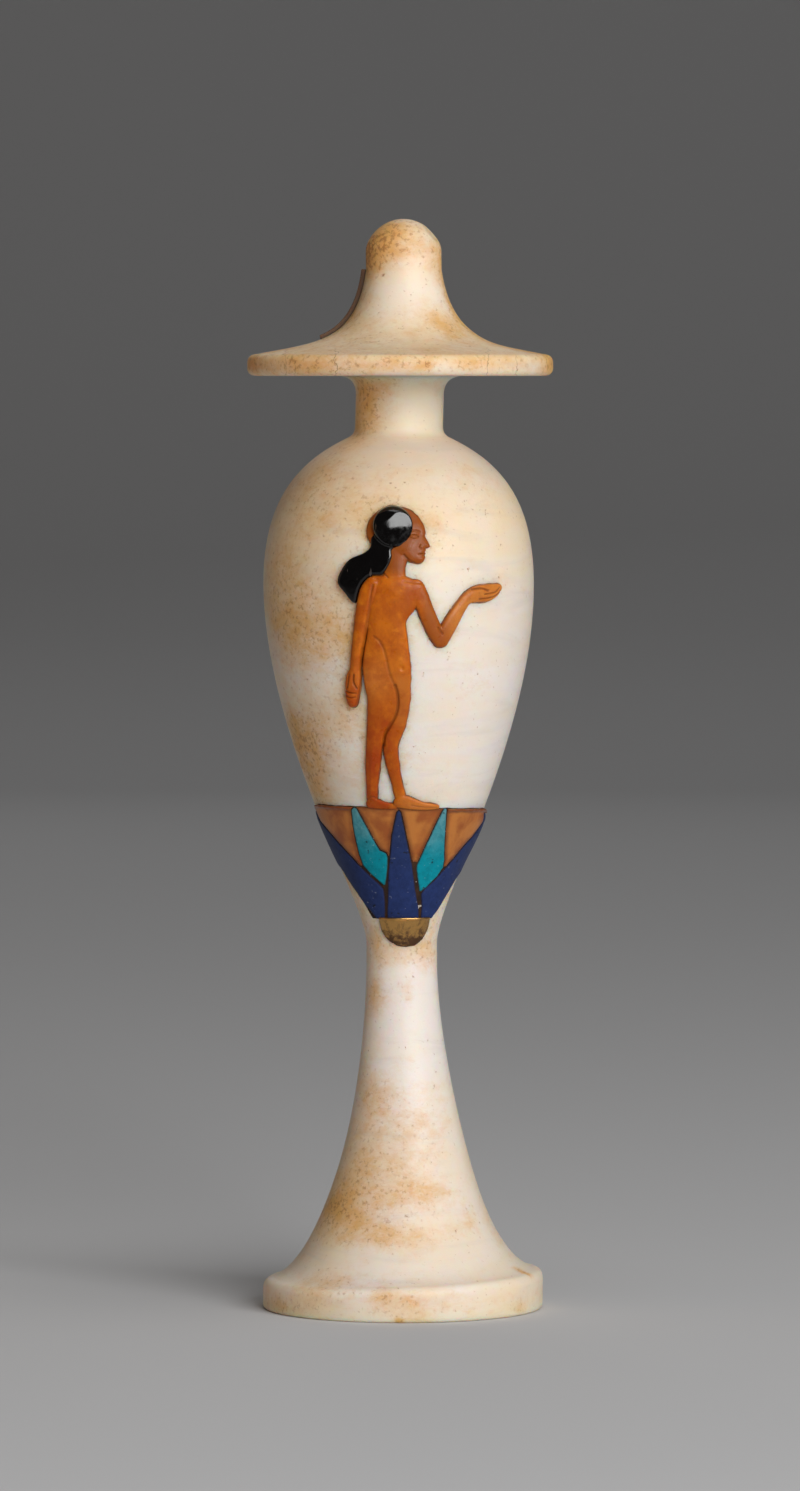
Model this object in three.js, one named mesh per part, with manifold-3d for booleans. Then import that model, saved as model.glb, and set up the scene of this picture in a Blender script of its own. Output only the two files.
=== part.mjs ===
// Lidded perfume jar of travertine on a tall flared foot, with a standing figure of carnelian and
// obsidian set into its front, above a lotus of carnelian, blue and turquoise glass and gold.
// Millimetres, +Z up. The inlaid front faces -Y. The origin is on the ground, under the lid's centre.

import * as THREE from "three";
import { mergeVertices } from "three/addons/utils/BufferGeometryUtils.js";
import Module from "manifold-3d";

const wasm = await Module();
wasm.setup();

// Lengths along the axis, from the ground up
const RIM_HEIGHT = 3.2; // upright edge of the foot
const STEM_LENGTH = 31.3; // from the foot's edge to the waist
const WAIST_LENGTH = 1.8;
const BOWL_LENGTH = 35.7; // from the waist to the widest part of the body
const SHOULDER_LENGTH = 14.4;
const NECK_LENGTH = 6.1;
const NECK_FILLET_HEIGHT = 1.2;
const LIP_HEIGHT = 1.9; // flared top of the neck
const DISC_THICKNESS = 2.1; // edge of the lid
const CONE_LENGTH = 8.4;
const KNOB_LENGTH = 5.0;

// Radii
const FOOT_RADIUS = 13.9;
const WAIST_RADIUS = 3.5;
const BODY_RADIUS = 13.42;
const NECK_RADIUS = 4.36;
const NECK_FILLET = 0.7; // the neck's foot spreads by this much onto the shoulder
const LIP_RADIUS = 6.2;
const LID_RADIUS = 15.15;
const KNOB_RADIUS = 3.74;
const EDGE_ROUNDING = 0.5; // worn edges of the foot and the lid

// The hollow inside and the lid's plug
const WALL = 2.7;
const BORE_RADIUS = 3.1;
const FLOOR_ABOVE_WAIST = 9.0;
const PLUG_LENGTH = 2.6;
const PLUG_CLEARANCE = 0.3;

// Inlays
const INLAY_DEPTH = 1.0;
const HEAD_DEPTH = 1.4;
const HAIR_DEPTH = 0.4; // the hair is set into the head
const BED = 0.3; // cement round and under each inlay, and between neighbours
const LOTUS_ABOVE_WAIST = 13.9; // upper edge of the lotus, on which the figure stands
const LOTUS_HEIGHT = 11.0;
const CALYX_HEIGHT = 2.9;
const CALYX_RISE = 0.6;
const PETAL_RISE = 0.14;
const FIGURE_HEIGHT = 29.3;
const FIGURE_STEP = 0.1; // the soles stand this far above the lotus
const LIMB_RISE = 0.62;
const HAIR_RISE = 0.7;

// The hand-cut axis strays sideways by these amounts
const FOOT_STRAY = 0.28;
const FLARE_STRAY = 0.52;
const WAIST_STRAY = 0.18;
const BODY_STRAY = -0.12;
const CONE_STRAY = 0.42;
const KNOB_STRAY = 0.33;
const RIM_SLOPE = 0.035; // the foot's upright edge grows taller towards +X

// A repaired shard at the back left of the lid stands proud of the cone
const SHARD_RISE = 0.45;
const SHARD_FOOT = 0.5; // its lower edge, above the disc
const SHARD_START = 140; // degrees round the lid, from +X towards +Y
const SHARD_END = 185;

// Fineness of the faceted solids
const ROUND_SEGMENTS = 32;
const DOME_STEPS = 4; // across an inlay's face
const ROOM_STEP = 3.2; // widest strip of an inlay's flat back

// Heights that follow from the lengths
const flareZ = RIM_HEIGHT + EDGE_ROUNDING / 2;
const waistZ = RIM_HEIGHT + STEM_LENGTH;
const bowlZ = waistZ + WAIST_LENGTH;
const bellyZ = bowlZ + BOWL_LENGTH;
const neckZ = bellyZ + SHOULDER_LENGTH;
const mouthZ = neckZ + NECK_LENGTH;
const discTopZ = mouthZ + DISC_THICKNESS;
const knobZ = discTopZ + CONE_LENGTH;
const topZ = knobZ + KNOB_LENGTH;
const lotusZ = bowlZ + LOTUS_ABOVE_WAIST;
const calyxZ = lotusZ - LOTUS_HEIGHT;
const floorZ = bowlZ + FLOOR_ABOVE_WAIST;
const plugRadius = BORE_RADIUS - PLUG_CLEARANCE;

// Outline curves

const point = (radius, z) => new THREE.Vector2(radius, z);

// Points of a cubic curve between two points, whose handles are shares of the way in radius and height.
function bend(from, to, firstHandle, lastHandle, steps) {
  const between = ([r, h]) => point(from.x + (to.x - from.x) * r, from.y + (to.y - from.y) * h);
  const curve = new THREE.CubicBezierCurve(from, between(firstHandle), between(lastHandle), to);
  return curve.getPoints(steps);
}

const belly = point(BODY_RADIUS, bellyZ);
const footTop = point(FOOT_RADIUS - 0.7 * EDGE_ROUNDING, flareZ);
const neckFoot = point(NECK_RADIUS + NECK_FILLET, neckZ);
const neckLow = point(NECK_RADIUS, neckZ + NECK_FILLET_HEIGHT);
const neckHigh = point(NECK_RADIUS, mouthZ - LIP_HEIGHT);
const flare = (steps) => bend(footTop, point(WAIST_RADIUS, waistZ), [0.637, 0.081], [1, 0.694], steps);
const bowl = (steps) => bend(point(WAIST_RADIUS, bowlZ), belly, [0, 0.12], [1, 0.575], steps);
const shoulder = (steps) => bend(belly, neckFoot, [0, 0.594], [0.432, 0.842], steps);
const neckFillet = (steps) => bend(neckFoot, neckLow, [0.75, 0.2], [1, 0.5], steps);
const lipFlare = (steps) => bend(neckHigh, point(LIP_RADIUS, mouthZ), [0, 0.6], [0.25, 0.95], steps);

// The vase's outside from the foot's edge to the lip. Fine steps serve for measuring radii.
const vaseOutside = (fineness) => [
  point(FOOT_RADIUS - EDGE_ROUNDING, 0),
  point(FOOT_RADIUS - 0.15 * EDGE_ROUNDING, 0.35 * EDGE_ROUNDING),
  point(FOOT_RADIUS, EDGE_ROUNDING),
  point(FOOT_RADIUS, RIM_HEIGHT - 0.6 * EDGE_ROUNDING),
  ...flare(8 * fineness),
  ...bowl(11 * fineness),
  ...shoulder(7 * fineness).slice(1),
  ...neckFillet(2 * fineness).slice(1),
  ...lipFlare(2 * fineness),
];
const outsideLine = vaseOutside(8);

// The outside's radius at a height.
function radiusAt(z) {
  const above = outsideLine.findIndex((p) => p.y >= z);
  if (above <= 0) return outsideLine[0].x;
  const low = outsideLine[above - 1];
  const high = outsideLine[above];
  return THREE.MathUtils.mapLinear(z, low.y, high.y, low.x, high.x);
}

// The hollow's wall, from the mouth down to the floor: the outside moved inwards by the wall.
function vaseInside() {
  const line = [...bowl(8), ...shoulder(6).slice(1)];
  const inner = [];
  for (let i = 1; i < line.length - 1; i++) {
    const along = line[i + 1].clone().sub(line[i - 1]).normalize();
    const moved = point(line[i].x - along.y * WALL, line[i].y + along.x * WALL);
    if (moved.y > floorZ && moved.x > BORE_RADIUS && moved.y < neckZ) inner.push(moved);
  }
  const lowest = inner[0];
  return [
    point(0, floorZ),
    point(0.7 * lowest.x, floorZ + 0.1 * (lowest.y - floorZ)),
    ...inner,
    point(BORE_RADIUS, neckZ - 0.5 * WALL),
    point(BORE_RADIUS, mouthZ),
  ];
}

// Solids

// Turns a closed mesh into a solid, with its shared corners merged.
function solidOf(geometry) {
  const bare = new THREE.BufferGeometry();
  bare.setAttribute("position", geometry.getAttribute("position"));
  bare.setIndex(geometry.index);
  const merged = mergeVertices(bare, 1e-4);
  return new wasm.Manifold(
    new wasm.Mesh({
      numProp: 3,
      vertProperties: new Float32Array(merged.attributes.position.array),
      triVerts: new Uint32Array(merged.index.array),
    }),
  );
}

// A solid of revolution about Z, from a line that runs anticlockwise round half of its section.
function turned(line) {
  const geometry = new THREE.LatheGeometry(line, ROUND_SEGMENTS);
  geometry.rotateX(Math.PI / 2);
  return solidOf(geometry);
}

function joined(solids) {
  return solids.reduce((all, one) => all.add(one));
}

// The largest body of a solid, without the crumbs of stone left between recesses.
function largest(solid) {
  return solid.decompose().reduce((big, one) => (one.volume() > big.volume() ? one : big));
}

// A place seen from the front, across and up, as a length along the vase's curved surface and a height.
function unrolled([across, z]) {
  const radius = radiusAt(z);
  return new THREE.Vector2(radius * Math.asin(THREE.MathUtils.clamp(across / radius, -1, 1)), z);
}

// The point of space for an unrolled place, raised along the radius.
function onSurface({ x: length, y: z }, raised) {
  const radius = radiusAt(z);
  const around = length / radius;
  return [(radius + raised) * Math.sin(around), -(radius + raised) * Math.cos(around), z];
}

// Triangles of the band between two lines of corners that run the same way.
function ladder(near, far) {
  const faces = [];
  const nearSteps = near.length - 1;
  const farSteps = far.length - 1;
  for (let i = 0, j = 0; i < nearSteps || j < farSteps; ) {
    if (i < nearSteps && (i + 1) / nearSteps <= (j + 1) / farSteps) {
      faces.push(near[i], near[i + 1], far[j]);
      i++;
    } else {
      faces.push(near[i], far[j + 1], far[j]);
      j++;
    }
  }
  return faces;
}

// An inlay whose face is a strip between pairs of edge points, left and right, from the bottom up.
// It is sunk by depth and its face is domed by rise. Grown on all sides it is the room cut for it:
// a plain strip that stands clear of the surface.
function inlay(pairs, { rise, grow = 0, depth = INLAY_DEPTH, edge = 0.35 }) {
  const rows = pairs.map((pair) => {
    const [left, right] = pair.map(unrolled);
    const reach = right.clone().sub(left).normalize().multiplyScalar(grow);
    return { left: left.sub(reach), right: right.add(reach) };
  });
  const last = rows.length - 1;
  const middle = (row) => row.left.clone().add(row.right).multiplyScalar(0.5);
  for (const [end, next] of [[0, 1], [last, last - 1]]) {
    const outwards = middle(rows[end]).sub(middle(rows[next])).normalize().multiplyScalar(grow);
    rows[end].left.add(outwards);
    rows[end].right.add(outwards);
  }
  const widest = Math.max(...rows.map(({ left, right }) => right.distanceTo(left)));
  const backSteps = Math.ceil(widest / ROOM_STEP);
  const steps = grow > 0 ? backSteps : DOME_STEPS;
  const dome = (off) => rise * (edge + (1 - edge) * Math.sqrt(1 - off * off));
  const lift = (off) => (grow > 0 ? rise + 2 * grow : dome(off));
  const places = [];
  for (const { left, right } of rows) {
    for (let j = 0; j <= steps; j++) {
      places.push(onSurface(left.clone().lerp(right, j / steps), lift((2 * j) / steps - 1)));
    }
    for (let j = 0; j <= backSteps; j++) {
      places.push(onSurface(left.clone().lerp(right, j / backSteps), -depth - grow));
    }
  }
  const faces = [];
  const front = (row, j) => row * (steps + backSteps + 2) + j;
  const back = (row, j) => front(row, steps + 1 + j);
  const quad = (a, b, c, d) => faces.push(a, b, c, a, c, d);
  for (let i = 0; i < last; i++) {
    for (let j = 0; j < steps; j++) quad(front(i, j), front(i, j + 1), front(i + 1, j + 1), front(i + 1, j));
    for (let j = 0; j < backSteps; j++) quad(back(i, j + 1), back(i, j), back(i + 1, j), back(i + 1, j + 1));
    quad(back(i, 0), front(i, 0), front(i + 1, 0), back(i + 1, 0));
    quad(front(i, steps), back(i, backSteps), back(i + 1, backSteps), front(i + 1, steps));
  }
  const line = (corner, row, count) => Array.from({ length: count + 1 }, (_, j) => corner(row, j));
  faces.push(...ladder(line(back, 0, backSteps), line(front, 0, steps)));
  faces.push(...ladder(line(front, last, steps), line(back, last, backSteps)));
  const geometry = new THREE.BufferGeometry();
  geometry.setAttribute("position", new THREE.Float32BufferAttribute(places.flat(), 3));
  geometry.setIndex(faces);
  return solidOf(geometry);
}

// Pairs of edge points for a limb that follows a line of [across, up, half width].
function limb(stations) {
  return stations.map(([x, z, half], i) => {
    const before = stations[Math.max(0, i - 1)];
    const after = stations[Math.min(stations.length - 1, i + 1)];
    const way = new THREE.Vector2(after[0] - before[0], after[1] - before[1]).normalize();
    return [
      [x - way.y * half, z + way.x * half],
      [x + way.y * half, z - way.x * half],
    ];
  });
}

// The same stations with a narrower one past each end.
function rounded(stations) {
  const past = (end, next) => {
    const way = new THREE.Vector2(end[0] - next[0], end[1] - next[1]).normalize();
    return [end[0] + 0.85 * way.x * end[2], end[1] + 0.85 * way.y * end[2], 0.45 * end[2]];
  };
  const count = stations.length;
  return [past(stations[0], stations[1]), ...stations, past(stations[count - 1], stations[count - 2])];
}

// The figure. Its places and half widths are hundredths of its height, across from the jar's
// middle line and up from its soles.

const percent = FIGURE_HEIGHT / 100;
const solesZ = lotusZ + FIGURE_STEP;
const place = ([across, up]) => [across * percent, solesZ + up * percent];
const stationsOf = (list) => list.map(([across, up, half]) => [...place([across, up]), half * percent]);
const limbOf = (list) => limb(rounded(stationsOf(list)));
const rowsOf = (list) => list.map(([up, left, right]) => [place([left, up]), place([right, up])]);

// The trunk and the back leg in rows: [up, left edge, right edge].
const TRUNK = [
  [3, -10.8, -7.3],
  [14, -11.2, -6.5],
  [22.5, -10.9, -5.3],
  [30, -10.6, -2.6],
  [36.5, -10.6, 0.5],
  [40, -11.4, 4.1],
  [46, -12.0, 4.5],
  [52, -11.5, 4.0],
  [58, -10.4, 3.0],
  [62.4, -10.2, 2.6],
  [66, -10.2, 5.0],
  [70.7, -10.6, 7.8],
  [74.6, -10.6, 8.6],
  [76.4, -10.2, 4.6],
  [78, -9.2, -2.6],
];
// Limbs in stations: [across, up, half width].
const FRONT_LEG = [
  [0.7, 40.5, 3.3],
  [0.7, 33.7, 3.1],
  [-1.0, 27.0, 2.7],
  [-2.2, 22.0, 2.4],
  [-1.2, 14.3, 1.9],
  [0.3, 7.0, 1.5],
  [0.8, 3.6, 1.8],
];
const HANGING_ARM = [
  [-9.4, 74.6, 3.1],
  [-11.3, 67.3, 2.6],
  [-12.7, 59, 2.3],
  [-13.7, 52.3, 2.1],
  [-14.4, 46.2, 1.8],
  [-14.7, 41.0, 2.9],
  [-14.8, 36.6, 2.3],
];
const UPPER_ARM = [[6.4, 73.2, 2.9], [9.0, 65.6, 2.7], [11.7, 59.2, 2.7], [13.3, 56.2, 2.4]];
const FOREARM = [
  [14.2, 56.4, 2.5],
  [17.2, 62.2, 2.6],
  [20.2, 67.2, 2.2],
  [22.4, 70.0, 2.2],
  [25.4, 71.3, 2.9],
  [29.0, 71.4, 3.2],
  [32.0, 72.2, 2.7],
  [33.9, 72.8, 1.9],
];
const NECK = [[-1.6, 75.2, 3.8], [-1.6, 79.0, 3.5], [-0.9, 84.5, 3.3]];
// The side lock in rows of two edge points, from its straight cut end up to the cap.
const HAIR_LOCK = [
  [[-19.6, 75.4], [-14.2, 69.0]],
  [[-18.1, 79.8], [-11.4, 73.2]],
  [[-16.0, 82.7], [-8.4, 76.2]],
  [[-12.4, 84.6], [-3.2, 80.6]],
  [[-8.8, 86.7], [-2.2, 86.0]],
  [[-8.2, 90.6], [1.4, 88.6]],
];
// Feet are strips from heel to toe: [across, sole, instep].
const BACK_FOOT = [[-11, 0, 2.4], [-8.6, 0, 4.4], [-5, 0, 2.7], [-2.2, 0, 1.4]];
const FRONT_FOOT = [
  [-1.9, 0.2, 2.0],
  [1.4, 0, 5.4],
  [4.4, 0, 3.9],
  [8.3, 0, 2.1],
  [11.6, 0, 1.3],
  [13.2, 0.2, 0.9],
];
const CROWN = { across: -1.2, up: 91.9, halfWidth: 9.4, halfHeight: 8.1 };
const HAIR_CAP = { across: -1.9, up: 93.5, halfWidth: 6.2, halfHeight: 6.5 };

// The face in profile, by the drawing-book rule of thirds: hairline, brow, foot of the nose, chin.
const CHIN_UP = 81.6;
const HAIRLINE_UP = 96.6;
const FACE_FRONT = 8.6; // the brow, across
const NOSE_REACH = 1.7;
function faceRows() {
  const third = (HAIRLINE_UP - CHIN_UP) / 3;
  const profile = [
    [0, -1.2],
    [0.25, -0.2],
    [0.62, 0.1],
    [0.78, -0.2],
    [1, 0.1],
    [1.15, NOSE_REACH],
    [1.7, 0.25],
    [2, 0],
    [2.6, -0.6],
    [3.1, -2.4],
  ];
  return profile.map(([thirds, reach]) => {
    const jaw = thirds < 1 ? 4.8 - 4.5 * thirds : 0.3;
    return [CHIN_UP + thirds * third, jaw, FACE_FRONT + reach];
  });
}

// Pairs of edge points for an upright ellipse.
function ellipse({ across, up, halfWidth, halfHeight }, steps = 8) {
  const rows = [];
  for (let i = 0; i <= steps; i++) {
    const turn = Math.PI * THREE.MathUtils.lerp(0.04, 0.96, i / steps);
    const half = halfWidth * Math.sin(turn);
    rows.push([up - halfHeight * Math.cos(turn), across - half, across + half]);
  }
  return rowsOf(rows);
}

const footOf = (list) => list.map(([across, sole, instep]) => [place([across, instep]), place([across, sole])]);

const trunk = (grow) =>
  joined([
    inlay(rowsOf(TRUNK), { rise: LIMB_RISE, grow }),
    inlay(limbOf(HANGING_ARM), { rise: 1.25 * LIMB_RISE, grow }),
    inlay(limbOf(UPPER_ARM), { rise: 0.95 * LIMB_RISE, grow }),
    inlay(limbOf(FOREARM), { rise: LIMB_RISE, grow }),
    inlay(limbOf(FRONT_LEG), { rise: 0.9 * LIMB_RISE, grow }),
    inlay(footOf(BACK_FOOT), { rise: 0.8 * LIMB_RISE, grow }),
    inlay(footOf(FRONT_FOOT), { rise: 0.9 * LIMB_RISE, grow }),
  ]);

const head = (grow) =>
  joined([
    inlay(limb(stationsOf(NECK)), { rise: 0.8 * LIMB_RISE, grow, depth: HEAD_DEPTH }),
    inlay(ellipse(CROWN), { rise: 0.8 * LIMB_RISE, grow, depth: HEAD_DEPTH }),
    inlay(rowsOf(faceRows()), { rise: LIMB_RISE, grow, depth: HEAD_DEPTH }),
  ]);

const hair = (grow) =>
  joined([
    inlay(ellipse(HAIR_CAP), { rise: HAIR_RISE, grow, depth: HAIR_DEPTH }),
    inlay(HAIR_LOCK.map((pair) => pair.map(place)), { rise: HAIR_RISE, grow, depth: HAIR_DEPTH }),
  ]);

// The lotus. Places are shares: across of the radius at the lotus's upper edge, and up of its height.

const lotusPlace = ([across, up]) => [across * radiusAt(lotusZ), calyxZ + up * LOTUS_HEIGHT];
const lotusRows = (list) => list.map(([up, left, right]) => [lotusPlace([left, up]), lotusPlace([right, up])]);

const MIDDLE_SEPAL = [[0, -0.16, 0.19], [0.33, -0.145, 0.15], [0.66, -0.11, 0.1], [0.985, -0.035, 0.02]];
const SIDE_SEPAL = [
  [0.0, 0.29, 0.18],
  [0.12, 0.4, 0.19],
  [0.28, 0.535, 0.21],
  [0.4, 0.64, 0.4],
  [0.52, 0.735, 0.555],
  [0.66, 0.825, 0.7],
  [0.8, 0.905, 0.84],
  [0.95, 0.985, 0.955],
];
const SIDE_PETAL = [
  [0.27, 0.2, 0.17],
  [0.42, 0.345, 0.165],
  [0.52, 0.45, 0.185],
  [0.68, 0.475, 0.33],
  [0.85, 0.51, 0.43],
  [0.995, 0.535, 0.485],
];
const INNER_FIELD = [[0.56, 0.24, 0.14], [0.8, 0.44, 0.07], [0.985, 0.51, 0.03]];
const OUTER_FIELD = [[0.47, 0.49, 0.45], [0.62, 0.7, 0.47], [0.8, 0.86, 0.5], [1.0, 0.99, 0.53]];
// Half widths of the recess that holds all the petals.
const WHOLE_LOTUS = [
  [0, 0.3],
  [0.13, 0.42],
  [0.28, 0.545],
  [0.4, 0.65],
  [0.52, 0.75],
  [0.66, 0.84],
  [0.8, 0.92],
  [1, 1.02],
];
const CALYX = [[-1, 0.06], [-0.9, 0.14], [-0.68, 0.21], [-0.35, 0.255], [-0.05, 0.275]];

// Mirrors a petal's rows to the left or the right of the lotus.
function toSide(rows, side) {
  return rows.map(([up, far, near]) => (side > 0 ? [up, near, far] : [up, -far, -near]));
}

const sepal = (side, grow) =>
  side === 0
    ? inlay(lotusRows(MIDDLE_SEPAL), { rise: PETAL_RISE, grow, edge: 0.7 })
    : inlay(lotusRows(toSide(SIDE_SEPAL, side)), { rise: PETAL_RISE, grow, edge: 0.7 });
const petal = (side, grow) => inlay(lotusRows(toSide(SIDE_PETAL, side)), { rise: PETAL_RISE, grow, edge: 0.7 });
const field = (rows, side, grow) =>
  inlay(lotusRows(toSide(rows, side)), { rise: 1.5 * PETAL_RISE, grow, edge: 0.5 });

// The one recess that holds all the lotus's petals.
const lotusRoom = (grow) => {
  const rows = WHOLE_LOTUS.map(([up, half]) => [up, -half, half]);
  return inlay(lotusRows(rows), { rise: PETAL_RISE, grow });
};

const calyx = (grow) => {
  const rows = CALYX.map(([up, half]) => {
    const z = calyxZ + up * CALYX_HEIGHT;
    return [[-half * radiusAt(lotusZ), z], [half * radiusAt(lotusZ), z]];
  });
  return inlay(rows, { rise: CALYX_RISE, grow, edge: 0.2 });
};

// Hand-cut unevenness, given to every piece alike

const STRAY = [
  [0, FOOT_STRAY],
  [RIM_HEIGHT + 0.4 * STEM_LENGTH, FLARE_STRAY],
  [waistZ, WAIST_STRAY],
  [lotusZ, 0],
  [bellyZ, BODY_STRAY],
  [neckZ, BODY_STRAY],
  [mouthZ, 0],
  [discTopZ, 0],
  [discTopZ + 0.3 * CONE_LENGTH, CONE_STRAY],
  [topZ, KNOB_STRAY],
];

function strayAt(z) {
  const above = STRAY.findIndex(([height]) => height >= z);
  if (above < 0) return KNOB_STRAY;
  if (above === 0) return FOOT_STRAY;
  const [lowZ, low] = STRAY[above - 1];
  const [highZ, high] = STRAY[above];
  return THREE.MathUtils.lerp(low, high, THREE.MathUtils.smoothstep(z, lowZ, highZ));
}

function handCut(x, y, z) {
  const aboveRim = THREE.MathUtils.smoothstep(z, RIM_HEIGHT, 4 * RIM_HEIGHT);
  const rimShare = z < RIM_HEIGHT ? z / RIM_HEIGHT : 1 - aboveRim;
  return [x + strayAt(z), y, z + RIM_SLOPE * x * rimShare];
}

// The lid's cone with its proud shard.
function withShard(x, y, z) {
  const around = THREE.MathUtils.euclideanModulo(THREE.MathUtils.radToDeg(Math.atan2(y, x)), 360);
  const within = around >= SHARD_START && around <= SHARD_END && z >= discTopZ + SHARD_FOOT && z <= knobZ;
  const share = within ? 1 + SHARD_RISE / Math.hypot(x, y) : 1;
  return [x * share, y * share, z];
}

// Pieces

function vaseSolid(pockets) {
  const outside = [point(0, 0), ...vaseOutside(1)];
  const inside = vaseInside().reverse();
  return largest(turned([...outside, ...inside]).subtract(joined(pockets)));
}

function lidSolid() {
  const discEdge = point(LID_RADIUS - EDGE_ROUNDING, discTopZ);
  const knobLow = point(KNOB_RADIUS, knobZ);
  const knobHigh = point(KNOB_RADIUS, knobZ + 0.36 * KNOB_LENGTH);
  const line = [
    point(0, mouthZ - PLUG_LENGTH),
    point(plugRadius - EDGE_ROUNDING, mouthZ - PLUG_LENGTH),
    point(plugRadius, mouthZ - PLUG_LENGTH + EDGE_ROUNDING),
    point(plugRadius, mouthZ),
    point(LID_RADIUS - 0.6 * EDGE_ROUNDING, mouthZ),
    point(LID_RADIUS, mouthZ + EDGE_ROUNDING),
    point(LID_RADIUS, discTopZ - 0.6 * EDGE_ROUNDING),
    ...bend(discEdge, knobLow, [0.45, 0.115], [0.91, 0.1], 8),
    ...bend(knobHigh, point(0, topZ), [0, 0.38], [0.4, 1], 4),
  ];
  return turned(line);
}

// A named mesh from a solid, with its vertices moved by the given functions in turn.
function piece(name, solid, material, ...moves) {
  const { numProp, vertProperties, triVerts } = solid.getMesh();
  const geometry = new THREE.BufferGeometry();
  const places = [];
  for (let i = 0; i < vertProperties.length; i += numProp) {
    const start = [vertProperties[i], vertProperties[i + 1], vertProperties[i + 2]];
    places.push(...[...moves, handCut].reduce((spot, move) => move(...spot), start));
  }
  geometry.setAttribute("position", new THREE.Float32BufferAttribute(places, 3));
  geometry.setIndex([...triVerts]);
  geometry.computeVertexNormals();
  const mesh = new THREE.Mesh(geometry, material);
  mesh.name = name;
  return mesh;
}

function finish(color, roughness, metalness = 0) {
  return new THREE.MeshStandardMaterial({ color, roughness, metalness });
}
const TRAVERTINE = finish(0xe6d3b8, 0.45);
const CARNELIAN = finish(0xb4602a, 0.35);
const OBSIDIAN = finish(0x0d0b0e, 0.08);
const BLUE_GLASS = finish(0x24315e, 0.55);
const TURQUOISE_GLASS = finish(0x1f8f98, 0.45);
const GOLD = finish(0x9a742c, 0.4, 1);

const jar = new THREE.Group();

const blues = { blue_sepal_left: -1, blue_sepal_middle: 0, blue_sepal_right: 1 };
const turquoises = { turquoise_petal_left: -1, turquoise_petal_right: 1 };
const fields = {
  carnelian_petal_outer_left: [OUTER_FIELD, -1],
  carnelian_petal_inner_left: [INNER_FIELD, -1],
  carnelian_petal_inner_right: [INNER_FIELD, 1],
  carnelian_petal_outer_right: [OUTER_FIELD, 1],
};

// Where inlays meet, the first of these keeps its outline and the next is cut back round it.
const calyxRoom = calyx(BED);
const blueRoom = joined(Object.values(blues).map((side) => sepal(side, BED)));
const turquoiseRoom = joined(Object.values(turquoises).map((side) => petal(side, BED)));
const trunkRoom = trunk(BED);
const hairRoom = hair(BED);

const pockets = [calyxRoom, lotusRoom(BED), trunkRoom, hairRoom, head(BED)];

jar.add(piece("vase", vaseSolid(pockets), TRAVERTINE));
jar.add(piece("lid", lidSolid(), TRAVERTINE, withShard));
jar.add(piece("calyx", calyx(0), GOLD));
for (const [name, side] of Object.entries(blues)) {
  const whole = sepal(side, 0).subtract(calyxRoom);
  jar.add(piece(name, side === 0 ? whole : whole.subtract(sepal(0, BED)), BLUE_GLASS));
}
for (const [name, side] of Object.entries(turquoises)) {
  jar.add(piece(name, petal(side, 0).subtract(blueRoom), TURQUOISE_GLASS));
}
for (const [name, [rows, side]] of Object.entries(fields)) {
  const cut = field(rows, side, 0).subtract(blueRoom).subtract(turquoiseRoom).subtract(trunkRoom);
  jar.add(piece(name, cut, CARNELIAN));
}
jar.add(piece("hair", hair(0).subtract(trunkRoom), OBSIDIAN));
jar.add(piece("figure", trunk(0).add(head(0).subtract(hairRoom)), CARNELIAN));

export default jar;
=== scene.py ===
# Lidded perfume jar of travertine on a tall flared foot, with a standing figure of carnelian and
# obsidian set into its front, above a lotus of carnelian, blue and turquoise glass and gold.
# The jar stands on the ground at the origin, and its inlaid front faces -Y. Shapes are worked out in
# millimetres and stored in metres.

import math
from functools import partial

import bpy
import numpy as np
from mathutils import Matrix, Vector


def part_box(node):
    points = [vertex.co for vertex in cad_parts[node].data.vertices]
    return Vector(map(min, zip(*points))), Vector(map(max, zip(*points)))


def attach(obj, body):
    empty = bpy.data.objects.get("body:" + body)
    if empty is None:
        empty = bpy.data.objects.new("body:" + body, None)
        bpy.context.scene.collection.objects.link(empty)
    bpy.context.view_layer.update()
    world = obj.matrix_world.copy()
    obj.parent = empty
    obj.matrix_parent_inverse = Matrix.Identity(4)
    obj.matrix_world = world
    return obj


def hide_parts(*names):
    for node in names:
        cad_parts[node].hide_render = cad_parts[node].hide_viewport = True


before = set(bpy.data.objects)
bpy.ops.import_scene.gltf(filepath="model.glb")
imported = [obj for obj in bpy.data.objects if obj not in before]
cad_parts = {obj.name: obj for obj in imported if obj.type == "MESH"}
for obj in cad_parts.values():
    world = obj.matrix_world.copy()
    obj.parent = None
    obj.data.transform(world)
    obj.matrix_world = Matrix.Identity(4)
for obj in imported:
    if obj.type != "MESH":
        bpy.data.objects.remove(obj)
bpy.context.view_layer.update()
VASE_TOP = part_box("vase")[1][2]
LID_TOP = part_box("lid")[1][2]
LOTUS_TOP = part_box("carnelian_petal_outer_left")[1][2]

bl_info = {
    "name": "Inlaid perfume jar",
    "version": (1, 0, 0),
    "blender": (4, 5, 0),
    "location": "View3D > Sidebar > Perfume Jar",
    "description": "Models a travertine perfume jar with its lid, inlaid figure and lotus",
    "category": "Add Mesh",
}

MM = 0.001
ROUND_STEPS = 192
# Degrees past which an edge stays sharp, on the turned stones and on the inlays.
STONE_ANGLE = 40
INLAY_ANGLE = 60
# Cell sizes in millimetres of the grids that inlays are cut from, and how far a grid reaches past them.
FIGURE_CELL = 0.055
LOTUS_CELL = 0.08
CALYX_CELL = 0.07
CEMENT_CELL = 0.09
MARGIN = 0.15


def length(name, description, default):
    """A property for a length."""
    return bpy.props.FloatProperty(
        name=name, description=description, default=default, min=0.0, precision=5, unit="LENGTH"
    )


def colour(name, description, default):
    """A property for a colour."""
    return bpy.props.FloatVectorProperty(
        name=name, description=description, default=default, size=3, min=0.0, max=1.0, subtype="COLOR"
    )


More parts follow.
